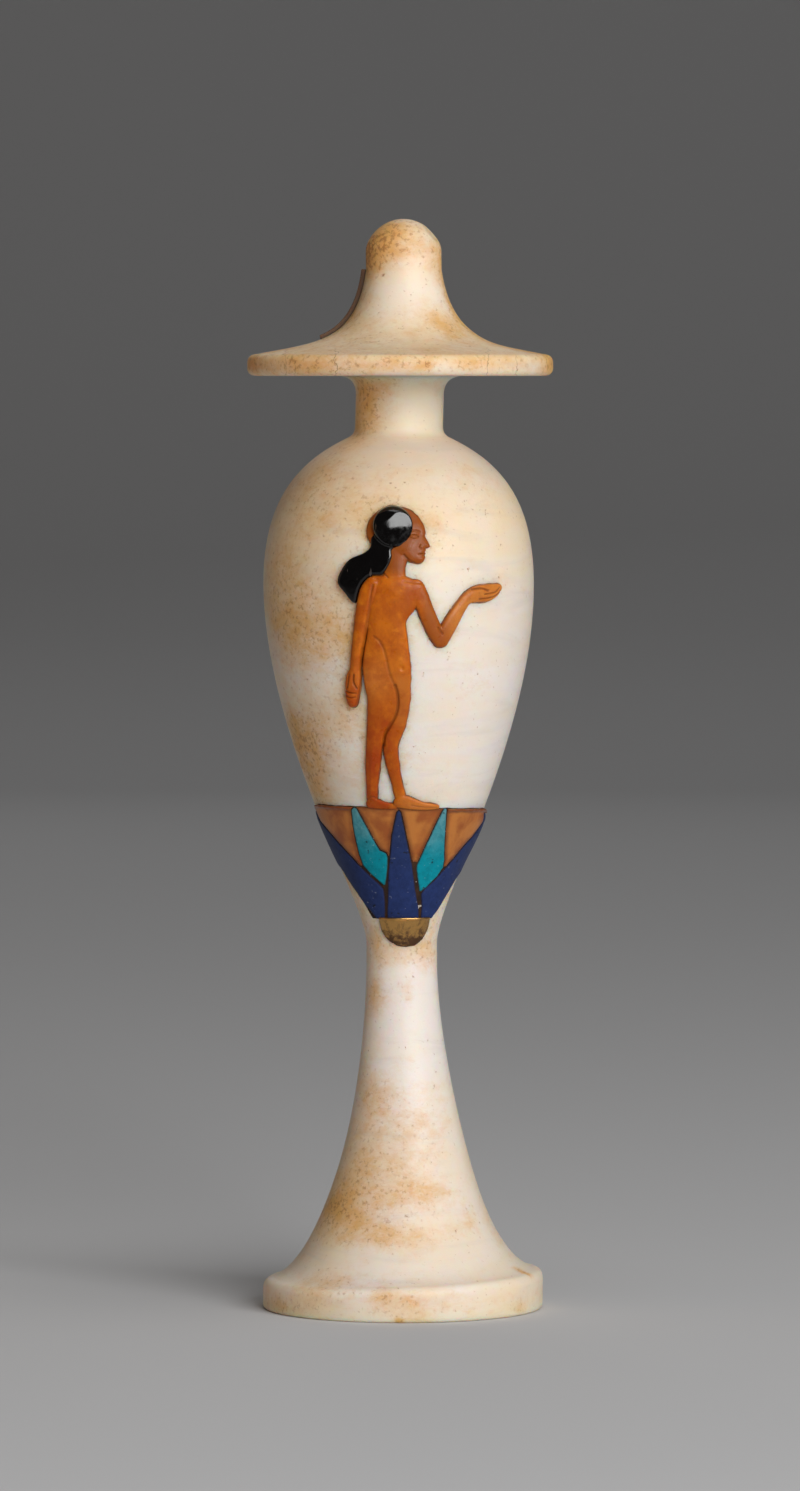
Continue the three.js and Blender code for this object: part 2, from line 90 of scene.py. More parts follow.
class JarSizes(bpy.types.PropertyGroup):
    """Sizes of the jar, which the panel shows."""

    foot_radius: length("Foot radius", "Radius of the foot's upright edge", 0.0139)
    rim_height: length("Foot edge height", "Height of the foot's upright edge", 0.0032)
    waist_radius: length("Waist radius", "Radius of the stem at its narrowest", 0.0035)
    waist_height: length("Waist height", "Height at which the stem is narrowest", 0.0345)
    bowl_height: length("Bowl height", "Height at which the body starts to widen", 0.0363)
    body_radius: length("Body radius", "Largest radius of the body", 0.01342)
    belly_height: length("Belly height", "Height at which the body is widest", 0.072)
    neck_radius: length("Neck radius", "Radius of the upright neck", 0.00436)
    neck_height: length("Neck height", "Height of the neck's foot on the shoulder", 0.0864)
    lip_radius: length("Lip radius", "Radius of the flared lip", 0.0062)
    mouth_height: length("Mouth height", "Height of the vase's mouth", VASE_TOP)
    wall: length("Wall", "Thickness of the stone round the hollow", 0.0027)
    bore_radius: length("Bore radius", "Radius of the bore through the neck", 0.0031)
    lid_radius: length("Lid radius", "Radius of the lid's disc", 0.01515)
    disc_thickness: length("Disc thickness", "Thickness of the lid's disc at its edge", 0.0021)
    knob_radius: length("Knob radius", "Radius of the lid's knob", 0.00374)
    knob_height: length("Knob height", "Height at which the knob starts", 0.103)
    lid_height: length("Lid height", "Height of the knob's top", LID_TOP)
    lotus_height: length("Lotus height", "Height of the lotus's upper edge", LOTUS_TOP)
    figure_height: length("Figure height", "Height of the inlaid figure", 0.0293)


class JarColours(bpy.types.PropertyGroup):
    """Colours of the stones, glass, gold and ground, which the panel shows."""

    stone: colour("Stone", "Pale ground of the travertine", (0.85, 0.78, 0.72))
    cream: colour("Cream stone", "Warmer parts of the travertine", (0.86, 0.68, 0.45))
    stain: colour("Stain", "Honey-coloured stains", (0.74, 0.42, 0.14))
    # Brown hearts of real stains, and also part of the painted shade on the lid's shard.
    deep_stain_and_shade: colour("Deep stain", "Brown hearts of the stains", (0.27, 0.11, 0.035))
    veil: colour("Veil", "Greyer veils in the travertine", (0.62, 0.56, 0.52))
    grit: colour("Grit", "Brown grit in and near the stains", (0.42, 0.19, 0.06))
    # Painted shade on the face of the lid's repaired shard, which lies in shadow.
    shard_shade: colour("Soot", "Dark face of the lid's repaired shard", (0.035, 0.022, 0.016))
    carnelian: colour("Carnelian", "Carnelian of the figure's trunk", (0.41, 0.082, 0.003))
    carnelian_amber: colour("Amber carnelian", "Lighter amber clouds in the figure", (0.56, 0.145, 0.004))
    carnelian_spots: colour("Carnelian spots", "Bright orange spots in the figure", (0.68, 0.22, 0.01))
    carnelian_rosy: colour("Rosy carnelian", "Browner stone of the head and raised arm", (0.29, 0.072, 0.009))
    carnelian_pale: colour("Pale carnelian", "Paler stone of the hand and foremost foot", (0.62, 0.22, 0.04))
    carnelian_red: colour("Red carnelian", "Redder stone of the legs", (0.36, 0.05, 0.002))
    # Dark brown along the edges and in the grain; in the creases it is painted shade.
    carnelian_deep_and_crease_shade: colour("Deep carnelian", "Dark brown along edges and creases", (0.16, 0.035, 0.008))
    field_milky: colour("Milky field", "Milky amber of the lotus's carnelian", (0.50, 0.18, 0.036))
    field_brown: colour("Brown field", "Browner clouds of the lotus's carnelian", (0.33, 0.09, 0.018))
    field_ridge: colour("Field ridge", "Brown ridge along the lotus's upper edge", (0.22, 0.06, 0.014))
    field_edge: colour("Field edge", "Dark edges of the lotus's carnelian", (0.11, 0.025, 0.007))
    obsidian: colour("Obsidian", "Black of the hair", (0.0015, 0.001, 0.001))
    scratch: colour("Scratches", "Pale scratches in the obsidian", (0.2, 0.16, 0.14))
    blue: colour("Blue glass", "Dark blue glass of the sepals", (0.018, 0.035, 0.13))
    blue_tip: colour("Blue glass tips", "Blue glass towards the sepals' tips", (0.022, 0.038, 0.105))
    blue_fleck: colour("Blue flecks", "Pale flecks in the blue glass", (0.25, 0.27, 0.34))
    turquoise: colour("Turquoise glass", "Turquoise glass of the petals", (0.0, 0.26, 0.33))
    turquoise_tip: colour("Turquoise tips", "Paler turquoise of the petals' tips", (0.15, 0.31, 0.33))
    turquoise_fleck: colour("Turquoise flecks", "Pale flecks in the turquoise glass", (0.2, 0.4, 0.42))
    glass_pit: colour("Glass pits", "Dark pits in the glass", (0.01, 0.012, 0.02))
    gold: colour("Gold", "Worn gold of the calyx", (0.66, 0.37, 0.12))
    gold_dirt: colour("Gold's dirt", "Brown dirt on the gold", (0.085, 0.036, 0.012))
    cement: colour("Cement", "Dark cement between the lotus's pieces", (0.022, 0.011, 0.007))
    cement_brown: colour("Brown cement", "Browner patches between the lotus's pieces", (0.05, 0.022, 0.01))
    cement_light: colour("Light cement", "Brown cement round the figure", (0.10, 0.042, 0.016))
    cement_honey: colour("Honey cement", "Honey patches in the cement", (0.40, 0.21, 0.08))
    cement_fleck: colour("Cement flecks", "White flecks in the cement", (0.5, 0.45, 0.4))
    ground: colour("Ground", "Pale paper under and behind the jar", (0.59, 0.59, 0.595))


def bend(start, end, first, last, steps):
    """Points of a cubic curve between two (radius, height) points.

    The handles are given as shares of the way in radius and height.
    """
    start, end = np.array(start, float), np.array(end, float)
    near, far = start + (end - start) * first, start + (end - start) * last
    t = np.linspace(0.0, 1.0, steps + 1)[:, None]
    s = 1.0 - t
    return s**3 * start + 3 * s * s * t * near + 3 * s * t * t * far + t**3 * end


def blend_step(value, low, high):
    """Smooth step from 0 at low to 1 at high."""
    t = np.clip((value - low) / (high - low), 0.0, 1.0)
    return t * t * (3.0 - 2.0 * t)


class JarShape:
    """The jar's outline and its hand-cut unevenness, in millimetres."""

    def __init__(self):
        sizes = bpy.context.scene.jar_sizes
        for name in JarSizes.__annotations__:
            setattr(self, name, getattr(sizes, name) / MM)
        line = self.outside()
        self.line_heights = line[:, 1]
        self.line_radii = line[:, 0]
        disc_top = self.mouth_height + self.disc_thickness
        self.disc_top = disc_top
        cone = self.knob_height - disc_top
        self.stray_heights = [
            0.0,
            self.rim_height + 0.4 * (self.waist_height - self.rim_height),
            self.waist_height,
            self.lotus_height,
            self.belly_height,
            self.neck_height,
            self.mouth_height,
            disc_top,
            disc_top + 0.3 * cone,
            self.lid_height,
        ]
        self.strays = [0.28, 0.52, 0.18, 0.0, -0.12, -0.12, 0.0, 0.0, 0.42, 0.33]

    def outside(self):
        """The outside from the ground to the lip, as (radius, height) rows."""
        foot, rim = self.foot_radius, self.rim_height
        instep = (foot - 1.1, rim + 0.36)
        waist = (self.waist_radius, self.waist_height)
        bowl = (self.waist_radius, self.bowl_height)
        belly = (self.body_radius, self.belly_height)
        neck, neck_foot = self.neck_radius, self.neck_height
        shoulder = (neck + 0.7, neck_foot)
        lip = (self.lip_radius, self.mouth_height)
        parts = [
            np.array([[foot - 0.42, 0.0], [foot - 0.2, 0.05], [foot - 0.07, 0.18], [foot - 0.01, 0.36]]),
            bend((foot, 0.6), (foot, rim - 0.95), (0, 0.3), (0, 0.7), 4),
            bend((foot, rim - 0.8), (foot - 0.95, rim + 0.3), (0.0, 0.75), (0.45, 0.95), 7),
            bend(instep, waist, (0.62, 0.075), (1, 0.694), 64),
            bend(bowl, belly, (0, 0.12), (1, 0.575), 64),
            bend(belly, shoulder, (0, 0.594), (0.432, 0.842), 36)[1:],
            bend(shoulder, (neck, neck_foot + 1.2), (0.75, 0.2), (1, 0.5), 8)[1:],
            bend((neck, self.mouth_height - 1.9), lip, (0, 0.6), (0.25, 0.95), 10),
        ]
        return np.concatenate(parts)

    def lid(self):
        """The lid from the middle of its plug's underside to the knob's top, as (radius, height) rows."""
        low, top = self.mouth_height, self.disc_top
        plug, plug_low = 2.8, low - 2.6
        edge = self.lid_radius
        knob, knob_height = self.knob_radius, self.knob_height
        parts = [
            [[0.0, plug_low], [plug - 0.5, plug_low], [plug - 0.12, low - 2.45], [plug, low - 2.1]],
            [[plug, low], [7.0, low], [edge - 1.2, low], [edge - 0.75, low + 0.02]],
            bend((edge - 0.65, low + 0.04), (edge, low + 0.75), (0.6, 0), (1, 0.5), 6),
            bend((edge, top - 0.8), (edge - 0.95, top + 0.06), (0, 0.65), (0.4, 0.97), 8),
            bend((edge - 1.1, top + 0.08), (knob, knob_height), (0.45, 0.12), (0.9, 0.1), 56),
            bend((knob, knob_height + 1.8), (0.0, self.lid_height), (0, 0.38), (0.4, 1), 20),
        ]
        return np.concatenate(parts)

    def inside(self):
        """The hollow's wall, from the mouth down to the floor, as (radius, height) rows."""
        middle = (self.line_heights > self.bowl_height + 2) & (self.line_heights < self.neck_height - 0.2)
        line = np.column_stack([self.line_radii, self.line_heights])[middle]
        along = np.gradient(line, axis=0)
        along /= np.linalg.norm(along, axis=1)[:, None]
        moved = line + self.wall * np.column_stack([-along[:, 1], along[:, 0]])
        floor = self.bowl_height + 9.0
        keep = (moved[:, 1] > floor + 0.6) & (moved[:, 0] > self.bore_radius + 0.2)
        moved = moved[keep & (moved[:, 1] < self.neck_height - 2)][::-2]
        bore = [[self.bore_radius, self.mouth_height - 0.01], [self.bore_radius, self.neck_height - 1.35]]
        low = moved[-1]
        bottom = [[0.8 * low[0], floor + 0.25 * (low[1] - floor)], [0.4 * low[0], floor + 0.05], [0.0, floor]]
        return np.concatenate([bore, moved, bottom])

    def radius_at(self, z):
        """Radius of the outside at the heights z."""
        return np.interp(z, self.line_heights, self.line_radii)

    def stray_at(self, z):
        """How far the hand-cut axis strays towards +X at the heights z."""
        out = np.full_like(z, self.strays[-1])
        for i in range(len(self.strays) - 1):
            low, high = self.stray_heights[i], self.stray_heights[i + 1]
            between = (z >= low) & (z < high)
            share = blend_step(z[between], low, high)
            out[between] = self.strays[i] + (self.strays[i + 1] - self.strays[i]) * share
        return out

    def hand_cut(self, places):
        """The same places with the jar's unevenness."""
        x, y, z = places.T
        around = np.arctan2(y, x)
        wave = 0.0022 * np.sin(2 * around + 0.06 * z) + 0.0014 * np.sin(3 * around - 0.13 * z + 1.1)
        wave += 0.0009 * np.sin(5 * around + 0.31 * z)
        ground = blend_step(z, 0.3, 4.0)
        rim = self.rim_height
        tilt = 0.035 * x * np.where(z < rim, z / rim, 1 - blend_step(z, rim, 4 * rim))
        grown = 1.0 + wave * ground
        return np.column_stack([x * grown + self.stray_at(z), y * grown, z + tilt])


def start_piece(name, primitive, **settings):
    """Adds a primitive with nothing else selected, and names it."""
    bpy.ops.object.select_all(action="DESELECT")
    primitive(**settings)
    piece = bpy.context.object
    piece.name = name
    piece.data.name = name
    return piece


def turned_piece(name, line):
    """A piece turned about Z from a line of (radius, height) rows in millimetres."""
    piece = start_piece(name, bpy.ops.mesh.primitive_plane_add, size=MM)
    bpy.ops.object.mode_set(mode="EDIT")
    bpy.ops.mesh.merge(type="CENTER")
    bpy.ops.transform.translate(value=(line[0][0] * MM, 0, line[0][1] * MM))
    for step in np.diff(line, axis=0) * MM:
        bpy.ops.mesh.extrude_region_move(TRANSFORM_OT_translate={"value": (step[0], 0, step[1])})
    bpy.ops.mesh.select_all(action="SELECT")
    bpy.ops.mesh.spin(steps=ROUND_STEPS, angle=math.tau, center=(0, 0, 0), axis=(0, 0, 1))
    bpy.ops.mesh.select_all(action="SELECT")
    bpy.ops.mesh.remove_doubles(threshold=0.002 * MM)
    bpy.ops.mesh.normals_make_consistent(inside=False)
    bpy.ops.object.mode_set(mode="OBJECT")
    return piece


def deselect_faces():
    """Makes faces the things to select on the active piece, with none of them selected."""
    bpy.ops.object.mode_set(mode="EDIT")
    bpy.ops.mesh.select_mode(type="FACE")
    bpy.ops.mesh.select_all(action="DESELECT")
    bpy.ops.object.mode_set(mode="OBJECT")


def places_of(piece):
    """The piece's vertices in millimetres."""
    flat = np.empty(3 * len(piece.data.vertices))
    piece.data.vertices.foreach_get("co", flat)
    return flat.reshape(-1, 3) / MM


def put_places(piece, places):
    """Moves the piece's vertices to places in millimetres."""
    piece.data.vertices.foreach_set("co", (places * MM).ravel())
    piece.data.update()


def put_values(piece, name, values):
    """Stores one number for each vertex under a name that a material can read."""
    attribute = piece.data.attributes.new(name, "FLOAT", "POINT")
    attribute.data.foreach_set("value", values.astype(np.float32))


def finish_piece(piece, material, nodes, angle):
    """Smooths a piece, gives it its material, and ties it to the frame in place of the nodes."""
    bpy.ops.object.select_all(action="DESELECT")
    piece.select_set(True)
    bpy.context.view_layer.objects.active = piece
    bpy.ops.object.shade_smooth_by_angle(angle=math.radians(angle))
    piece.data.materials.clear()
    piece.data.materials.append(material)
    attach(piece, "root")
    if nodes:
        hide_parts(*nodes)


# Inlays, drawn in the flat. A flat place is (length round the jar's surface from its middle line, height).

# The trunk and the near leg in rows, in hundredths of the figure's height: [up, left edge, right edge].
TRUNK = [
    [1.5, -10.9, -7.4],
    [7, -11.0, -7.2],
    [14, -11.3, -6.4],
    [22.5, -10.9, -5.3],
    [30, -10.6, -2.6],
    [36.5, -10.5, 0.6],
    [40, -11.2, 3.5],
    [46, -12.0, 3.9],
    [52, -11.5, 3.4],
    [58, -10.4, 2.7],
    [62.4, -10.2, 2.4],
    [66, -10.2, 4.9],
    [70.7, -10.6, 7.6],
    [74.6, -10.8, 8.4],
    [76.4, -10.2, 4.6],
    [77.8, -8.4, 1.2],
]
# Limbs in stations: [across, up, half width].
FAR_LEG = [
    [0.4, 44, 3.0],
    [0.6, 40.5, 3.1],
    [0.6, 36.6, 3.1],
    [-0.6, 29.3, 3.0],
    [-1.6, 25.7, 2.8],
    [-2.8, 22.1, 2.5],
    [-2.9, 18.5, 2.4],
    [-2.4, 14.9, 2.3],
    [-1.7, 11.2, 2.0],
    [-0.9, 7.6, 1.8],
    [-0.1, 4.2, 1.9],
]
HANGING_ARM = [
    [-8.6, 75.0, 2.4],
    [-9.8, 72.4, 3.0],
    [-11.3, 67.3, 2.7],
    [-12.7, 59, 2.3],
    [-13.7, 52.3, 2.1],
    [-14.3, 46.8, 1.9],
    [-14.9, 43.4, 2.6],
    [-15.2, 40.2, 2.6],
    [-15.4, 37.2, 2.2],
    [-15.3, 35.2, 1.7],
]
UPPER_ARM = [[5.6, 73.6, 2.9], [7.2, 70.2, 2.8], [9.0, 65.6, 2.7], [11.7, 59.2, 2.7], [13.4, 56.0, 2.4]]
FOREARM = [
    [13.8, 56.0, 2.4],
    [15.2, 58.8, 2.6],
    [17.4, 62.6, 2.5],
    [20.2, 67.2, 2.1],
    [22.4, 70.0, 2.1],
    [25.4, 71.3, 2.8],
    [28.4, 71.6, 3.0],
    [31.0, 72.4, 2.4],
    [32.6, 73.3, 1.5],
]
NECK = [[-1.6, 75.2, 4.0], [-1.5, 77.6, 3.6], [-1.2, 80.6, 3.4], [-0.6, 84.5, 3.6]]
NEAR_FOOT = [[-9.6, 0.9, 1.6], [-8.0, 0.9, 1.8], [-5.6, 0.4, 1.4], [-3.2, 0.1, 1.1], [-1.8, 0.0, 1.0]]
FAR_FOOT = [
    [-0.3, 1.4, 1.9],
    [1.6, 1.5, 2.3],
    [4.2, 0.8, 2.0],
    [7.4, 0.1, 1.5],
    [10.2, -0.1, 1.15],
    [12.0, -0.2, 0.9],
]
CROWN = (-1.2, 92.5, 9.4, 8.1)
HAIR_CAP = (-1.9, 94.3, 6.3, 6.7)
CAP_TOP = (-9.8, 92.3)
SIDE_LOCK = [
    [-19.7, 75.6],
    [-17.4, 72.0],
    [-14.2, 68.6],
    [-11.4, 72.4],
    [-8.6, 75.6],
    [-4.6, 79.0],
    [-2.4, 83.4],
    [-2.2, 86.4],
    [0.6, 88.4],
    [-2.0, 92.0],
    [-8.2, 91.0],
    [-9.2, 87.0],
    [-11.6, 85.0],
    [-15.6, 83.2],
    [-18.2, 80.0],
]

# The face in profile, by the drawing-book rule of thirds: hairline, brow, foot of the nose, chin.
CHIN_UP = 81.6
FACE_THIRD = 5.0
FACE_FRONT = 8.6
PROFILE = [
    [0.0, -2.2],
    [0.1, -0.8],
    [0.42, 0.05],
    [0.55, -0.35],
    [0.68, 0.15],
    [0.78, -0.1],
    [0.9, 0.3],
    [1.0, 0.1],
    [1.08, 1.2],
    [1.2, 1.6],
    [1.62, 0.5],
    [1.85, 0.0],
    [2.1, 0.15],
    [2.6, -0.5],
    [3.1, -2.2],
]


def smooth_line(points, closed=False, steps=5):
    """A rounded line through points, whose rows may hold a half width as well."""
    ring = np.asarray(points, float)
    if closed:
        before, after, last = np.roll(ring, 1, 0), np.roll(ring, -1, 0), np.roll(ring, -2, 0)
    else:
        padded = np.concatenate([ring[:1], ring, ring[-1:]])
        before, ring, after, last = padded[:-3], padded[1:-2], padded[2:-1], padded[3:]
    rounded = []
    for t in np.arange(steps) / steps:
        rounded.append(
            0.5
            * (
                2 * ring
                + (after - before) * t
                + (2 * before - 5 * ring + 4 * after - last) * t**2
                + (3 * ring - before - 3 * after + last) * t**3
            )
        )
    line = np.stack(rounded, 1).reshape(-1, ring.shape[1])
    return line if closed else np.concatenate([line, np.asarray(points, float)[-1:]])


def limb_depth(places, line):
    """How far each place lies inside a limb of rows (across, up, half width), or -99 when far outside."""
    depth = np.full(len(places), -99.0)
    reach = line[:, 2].max() + 1.5
    near = np.all((places > line[:, :2].min(0) - reach) & (places < line[:, :2].max(0) + reach), axis=1)
    spot = places[near]
    best = np.full(len(spot), -99.0)
    for start, end in zip(line, line[1:]):
        way = end[:2] - start[:2]
        share = np.clip((spot - start[:2]) @ way / max(way @ way, 1e-12), 0, 1)
        gap = np.hypot(*(spot - start[:2] - share[:, None] * way).T)
        best = np.maximum(best, start[2] + share * (end[2] - start[2]) - gap)
    depth[near] = best
    return depth


def outline_depth(places, corners):
    """How far each place lies inside a closed outline, or -99 when far outside."""
    depth = np.full(len(places), -99.0)
    near = np.all((places > corners.min(0) - 1.5) & (places < corners.max(0) + 1.5), axis=1)
    spot = places[near]
    gap = np.full(len(spot), 99.0)
    inside = np.zeros(len(spot), bool)
    for start, end in zip(corners, np.roll(corners, -1, 0)):
        way = end - start
        share = np.clip((spot - start) @ way / max(way @ way, 1e-12), 0, 1)
        gap = np.minimum(gap, np.hypot(*(spot - start - share[:, None] * way).T))
        if start[1] != end[1]:
            crosses = (start[1] > spot[:, 1]) != (end[1] > spot[:, 1])
            inside ^= crosses & (spot[:, 0] < start[0] + (spot[:, 1] - start[1]) * way[0] / way[1])
    depth[near] = np.where(inside, gap, -gap)
    return depth


def softly_joined(first, second, softness):
    """The larger of two values, with a rounded change from one to the other."""
    nearness = np.maximum(softness - np.abs(first - second), 0) / softness
    return np.maximum(first, second) + 0.25 * softness * nearness**2


def dome(depth, width, rise, edge=0.35):
    """Height of a rounded face that reaches its rise at a depth of width."""
    t = np.clip(depth / width, 0, 1)
    height = rise * (edge + (1 - edge) * np.sqrt(1 - (1 - t) ** 2))
    return np.where(depth > -0.12, height, -9.0)


class FigureShape:
    """The inlaid figure's parts, in flat millimetres."""

    def __init__(self, shape):
        self.shape = shape
        self.unit = shape.figure_height / 100
        self.soles = shape.lotus_height + 0.1

    def flat(self, rows):
        """Rows of (across, up, half width) in hundredths as flat places."""
        rows = np.asarray(rows, float)
        across, up = rows[:, 0] * self.unit, self.soles + rows[:, 1] * self.unit
        radius = self.shape.radius_at(up)
        out = rows * self.unit
        out[:, 0] = radius * np.arcsin(np.clip(across / radius, -1, 1))
        out[:, 1] = up
        return out

    def limb(self, places, rows):
        """How far each place lies inside a limb."""
        return limb_depth(places, self.flat(smooth_line(rows)))

    def outline(self, places, corners):
        """How far each place lies inside an outline in hundredths."""
        return outline_depth(places, self.flat(corners))

    def oval(self, places, oval):
        """How far each place lies inside an oval of (across, up, half width, half height)."""
        across, up, half_width, half_height = oval
        turn = np.linspace(0, math.tau, 72, endpoint=False)
        corners = np.column_stack([across + half_width * np.sin(turn), up - half_height * np.cos(turn)])
        return self.outline(places, corners)

    def rows_outline(self, rows):
        """The rounded outline through rows of (up, left edge, right edge)."""
        rows = np.asarray(rows, float)
        right = smooth_line(rows[:, [2, 0]])
        left = smooth_line(rows[:, [1, 0]])[::-1]
        return np.concatenate([right, left])

    def face_outline(self):
        """The head's front in profile, closed through the middle of the skull."""
        front = [[FACE_FRONT + reach, CHIN_UP + thirds * FACE_THIRD] for thirds, reach in PROFILE]
        back = [[0.0, 97.5], [-2.0, 92.0], [-1.5, 86.4], [1.0, 84.0], [3.4, 82.2]]
        return np.concatenate([smooth_line(front, steps=4), np.array(back)])

    def body_parts(self, places):
        """Depth, rounding width, rise and edge share of each part below the head."""
        unit = self.unit
        return {
            "trunk": (self.outline(places, self.rows_outline(TRUNK)), 4.2 * unit, 0.6, 0.4),
            "far_leg": (self.limb(places, FAR_LEG), 2.6 * unit, 0.5, 0.4),
            "near_foot": (self.limb(places, NEAR_FOOT), 1.6 * unit, 0.42, 0.5),
            "far_foot": (self.limb(places, FAR_FOOT), 1.6 * unit, 0.55, 0.5),
            "upper_arm": (self.limb(places, UPPER_ARM), 2.4 * unit, 0.56, 0.4),
            "forearm": (self.limb(places, FOREARM), 2.2 * unit, 0.56, 0.4),
            "hanging_arm": (self.limb(places, HANGING_ARM), 2.2 * unit, 0.74, 0.35),
        }

    def head_parts(self, places):
        """Depth, rounding width, rise and edge share of each part of the head."""
        unit = self.unit
        return {
            "neck": (self.limb(places, NECK), 3.0 * unit, 0.44, 0.4),
            "crown": (self.oval(places, CROWN), 3.4 * unit, 0.46, 0.4),
            "face": (self.outline(places, self.face_outline()), 2.6 * unit, 0.55, 0.45),
        }

    def body_depth(self, places):
        """How far each place lies inside the body without its head."""
        return np.max([part[0] for part in self.body_parts(places).values()], axis=0)

    def whole_depth(self, places):
        """How far each place lies inside the whole carnelian figure."""
        head = np.max([part[0] for part in self.head_parts(places).values()], axis=0)
        return softly_joined(self.body_depth(places), head, 0.12)

    def hair_depth(self, places):
        """How far each place lies inside the hair, which stops short of the body."""
        lock = self.outline(places, smooth_line(SIDE_LOCK, closed=True))
        hair = softly_joined(self.oval(places, HAIR_CAP), lock, 0.3)
        return np.minimum(hair, -self.body_depth(places) - 0.05)

    def carved(self, places, height, lines):
        """Cuts lines into a height: rows of (points in hundredths, depth, width)."""
        for points, depth, width in lines:
            line = smooth_line(points)
            line = self.flat(np.column_stack([line, np.zeros(len(line))]))
            gap = -limb_depth(places, line)
            height = height - depth * np.exp(-((gap / width) ** 2))
        return height

    def swelled(self, places, height, bumps):
        """Adds low bumps and hollows to a height: rows of (across, up, radius, rise)."""
        for across, up, radius, rise in bumps:
            middle = self.flat([[across, up]])[0]
            gap = np.hypot(*(places - middle).T) / (radius * self.unit)
            height = height + rise * np.exp(-(gap**2))
        return height

    def height(self, places):
        """The figure's relief above the stone."""
        parts = {**self.body_parts(places), **self.head_parts(places)}
        heights = {name: dome(*part) for name, part in parts.items()}
        order = ["far_leg", "near_foot", "trunk", "far_foot", "upper_arm", "forearm", "neck", "crown", "face"]
        height = heights[order[0]]
        for name in order[1:]:
            height = softly_joined(height, heights[name], 0.1)
        height = np.maximum(height, heights["hanging_arm"])
        height = self.carved(places, height, CREASES)
        return self.swelled(places, height, SWELLS)

    def tones(self, places):
        """Shares of the rosy, the pale and the deep red stone at each place, and of painted shade in the
        creases.
        """
        across = places[:, 0] / self.unit
        up = (places[:, 1] - self.soles) / self.unit
        arm = blend_step(across, 6.0, 10.0) * blend_step(up, 40, 50)
        thigh = blend_step(across, -2.5, 0.5) * blend_step(up, 24, 30) * (1 - blend_step(up, 42, 47))
        feet = 1 - blend_step(up, 2.0, 6.0)
        pale = blend_step(across, 13, 19) * blend_step(up, 50, 62) + 0.7 * feet * blend_step(across, -2, 3)
        pale = pale + 0.55 * np.exp(-((across + 8) ** 2 + (up - 43) ** 2) / 40)
        pale += 0.25 * thigh
        rosy = np.clip(blend_step(up, 76, 81) + 0.75 * arm + 0.35 * thigh + 0.3 * feet, 0, 1)
        near_foot = 1 - blend_step(across, -4, -2)
        deep = (1 - blend_step(up, 20, 46)) * np.maximum(blend_step(up, 3, 7), near_foot)
        fist = blend_step(-across, 11.5, 13) * (1 - blend_step(up, 43, 47))
        deep = deep * (0.5 + 0.5 * near_foot) + 0.6 * fist
        # Painted shade: the carved creases are darkened in colour.
        crease_shade = np.clip(-self.carved(places, np.zeros(len(places)), CREASES) / 0.2, 0, 0.5)
        return {"rosy": rosy, "pale": pale, "deep": np.clip(deep, 0, 1), "crease_shade": crease_shade}

    def hair_height(self, places):
        """A round cap, highest at its left, over a flatter lock."""
        top = self.flat([CAP_TOP])[0, :2]
        across, up = (places - top).T
        inside = self.oval(places, HAIR_CAP)
        leaning = self.shape.radius_at(top[1]) - self.shape.radius_at(places[:, 1])
        ball = 1.34 - across**2 / 26 - np.maximum(up, 0) ** 2 / 16 + leaning
        cap = np.minimum(ball, dome(inside, 2.4 * self.unit, 1.45, 0.45))
        lock = dome(self.hair_depth(places), 1.0 * self.unit, 0.6, 0.8) - np.clip(inside, 0, 0.3)
        return softly_joined(cap, lock, 0.12)


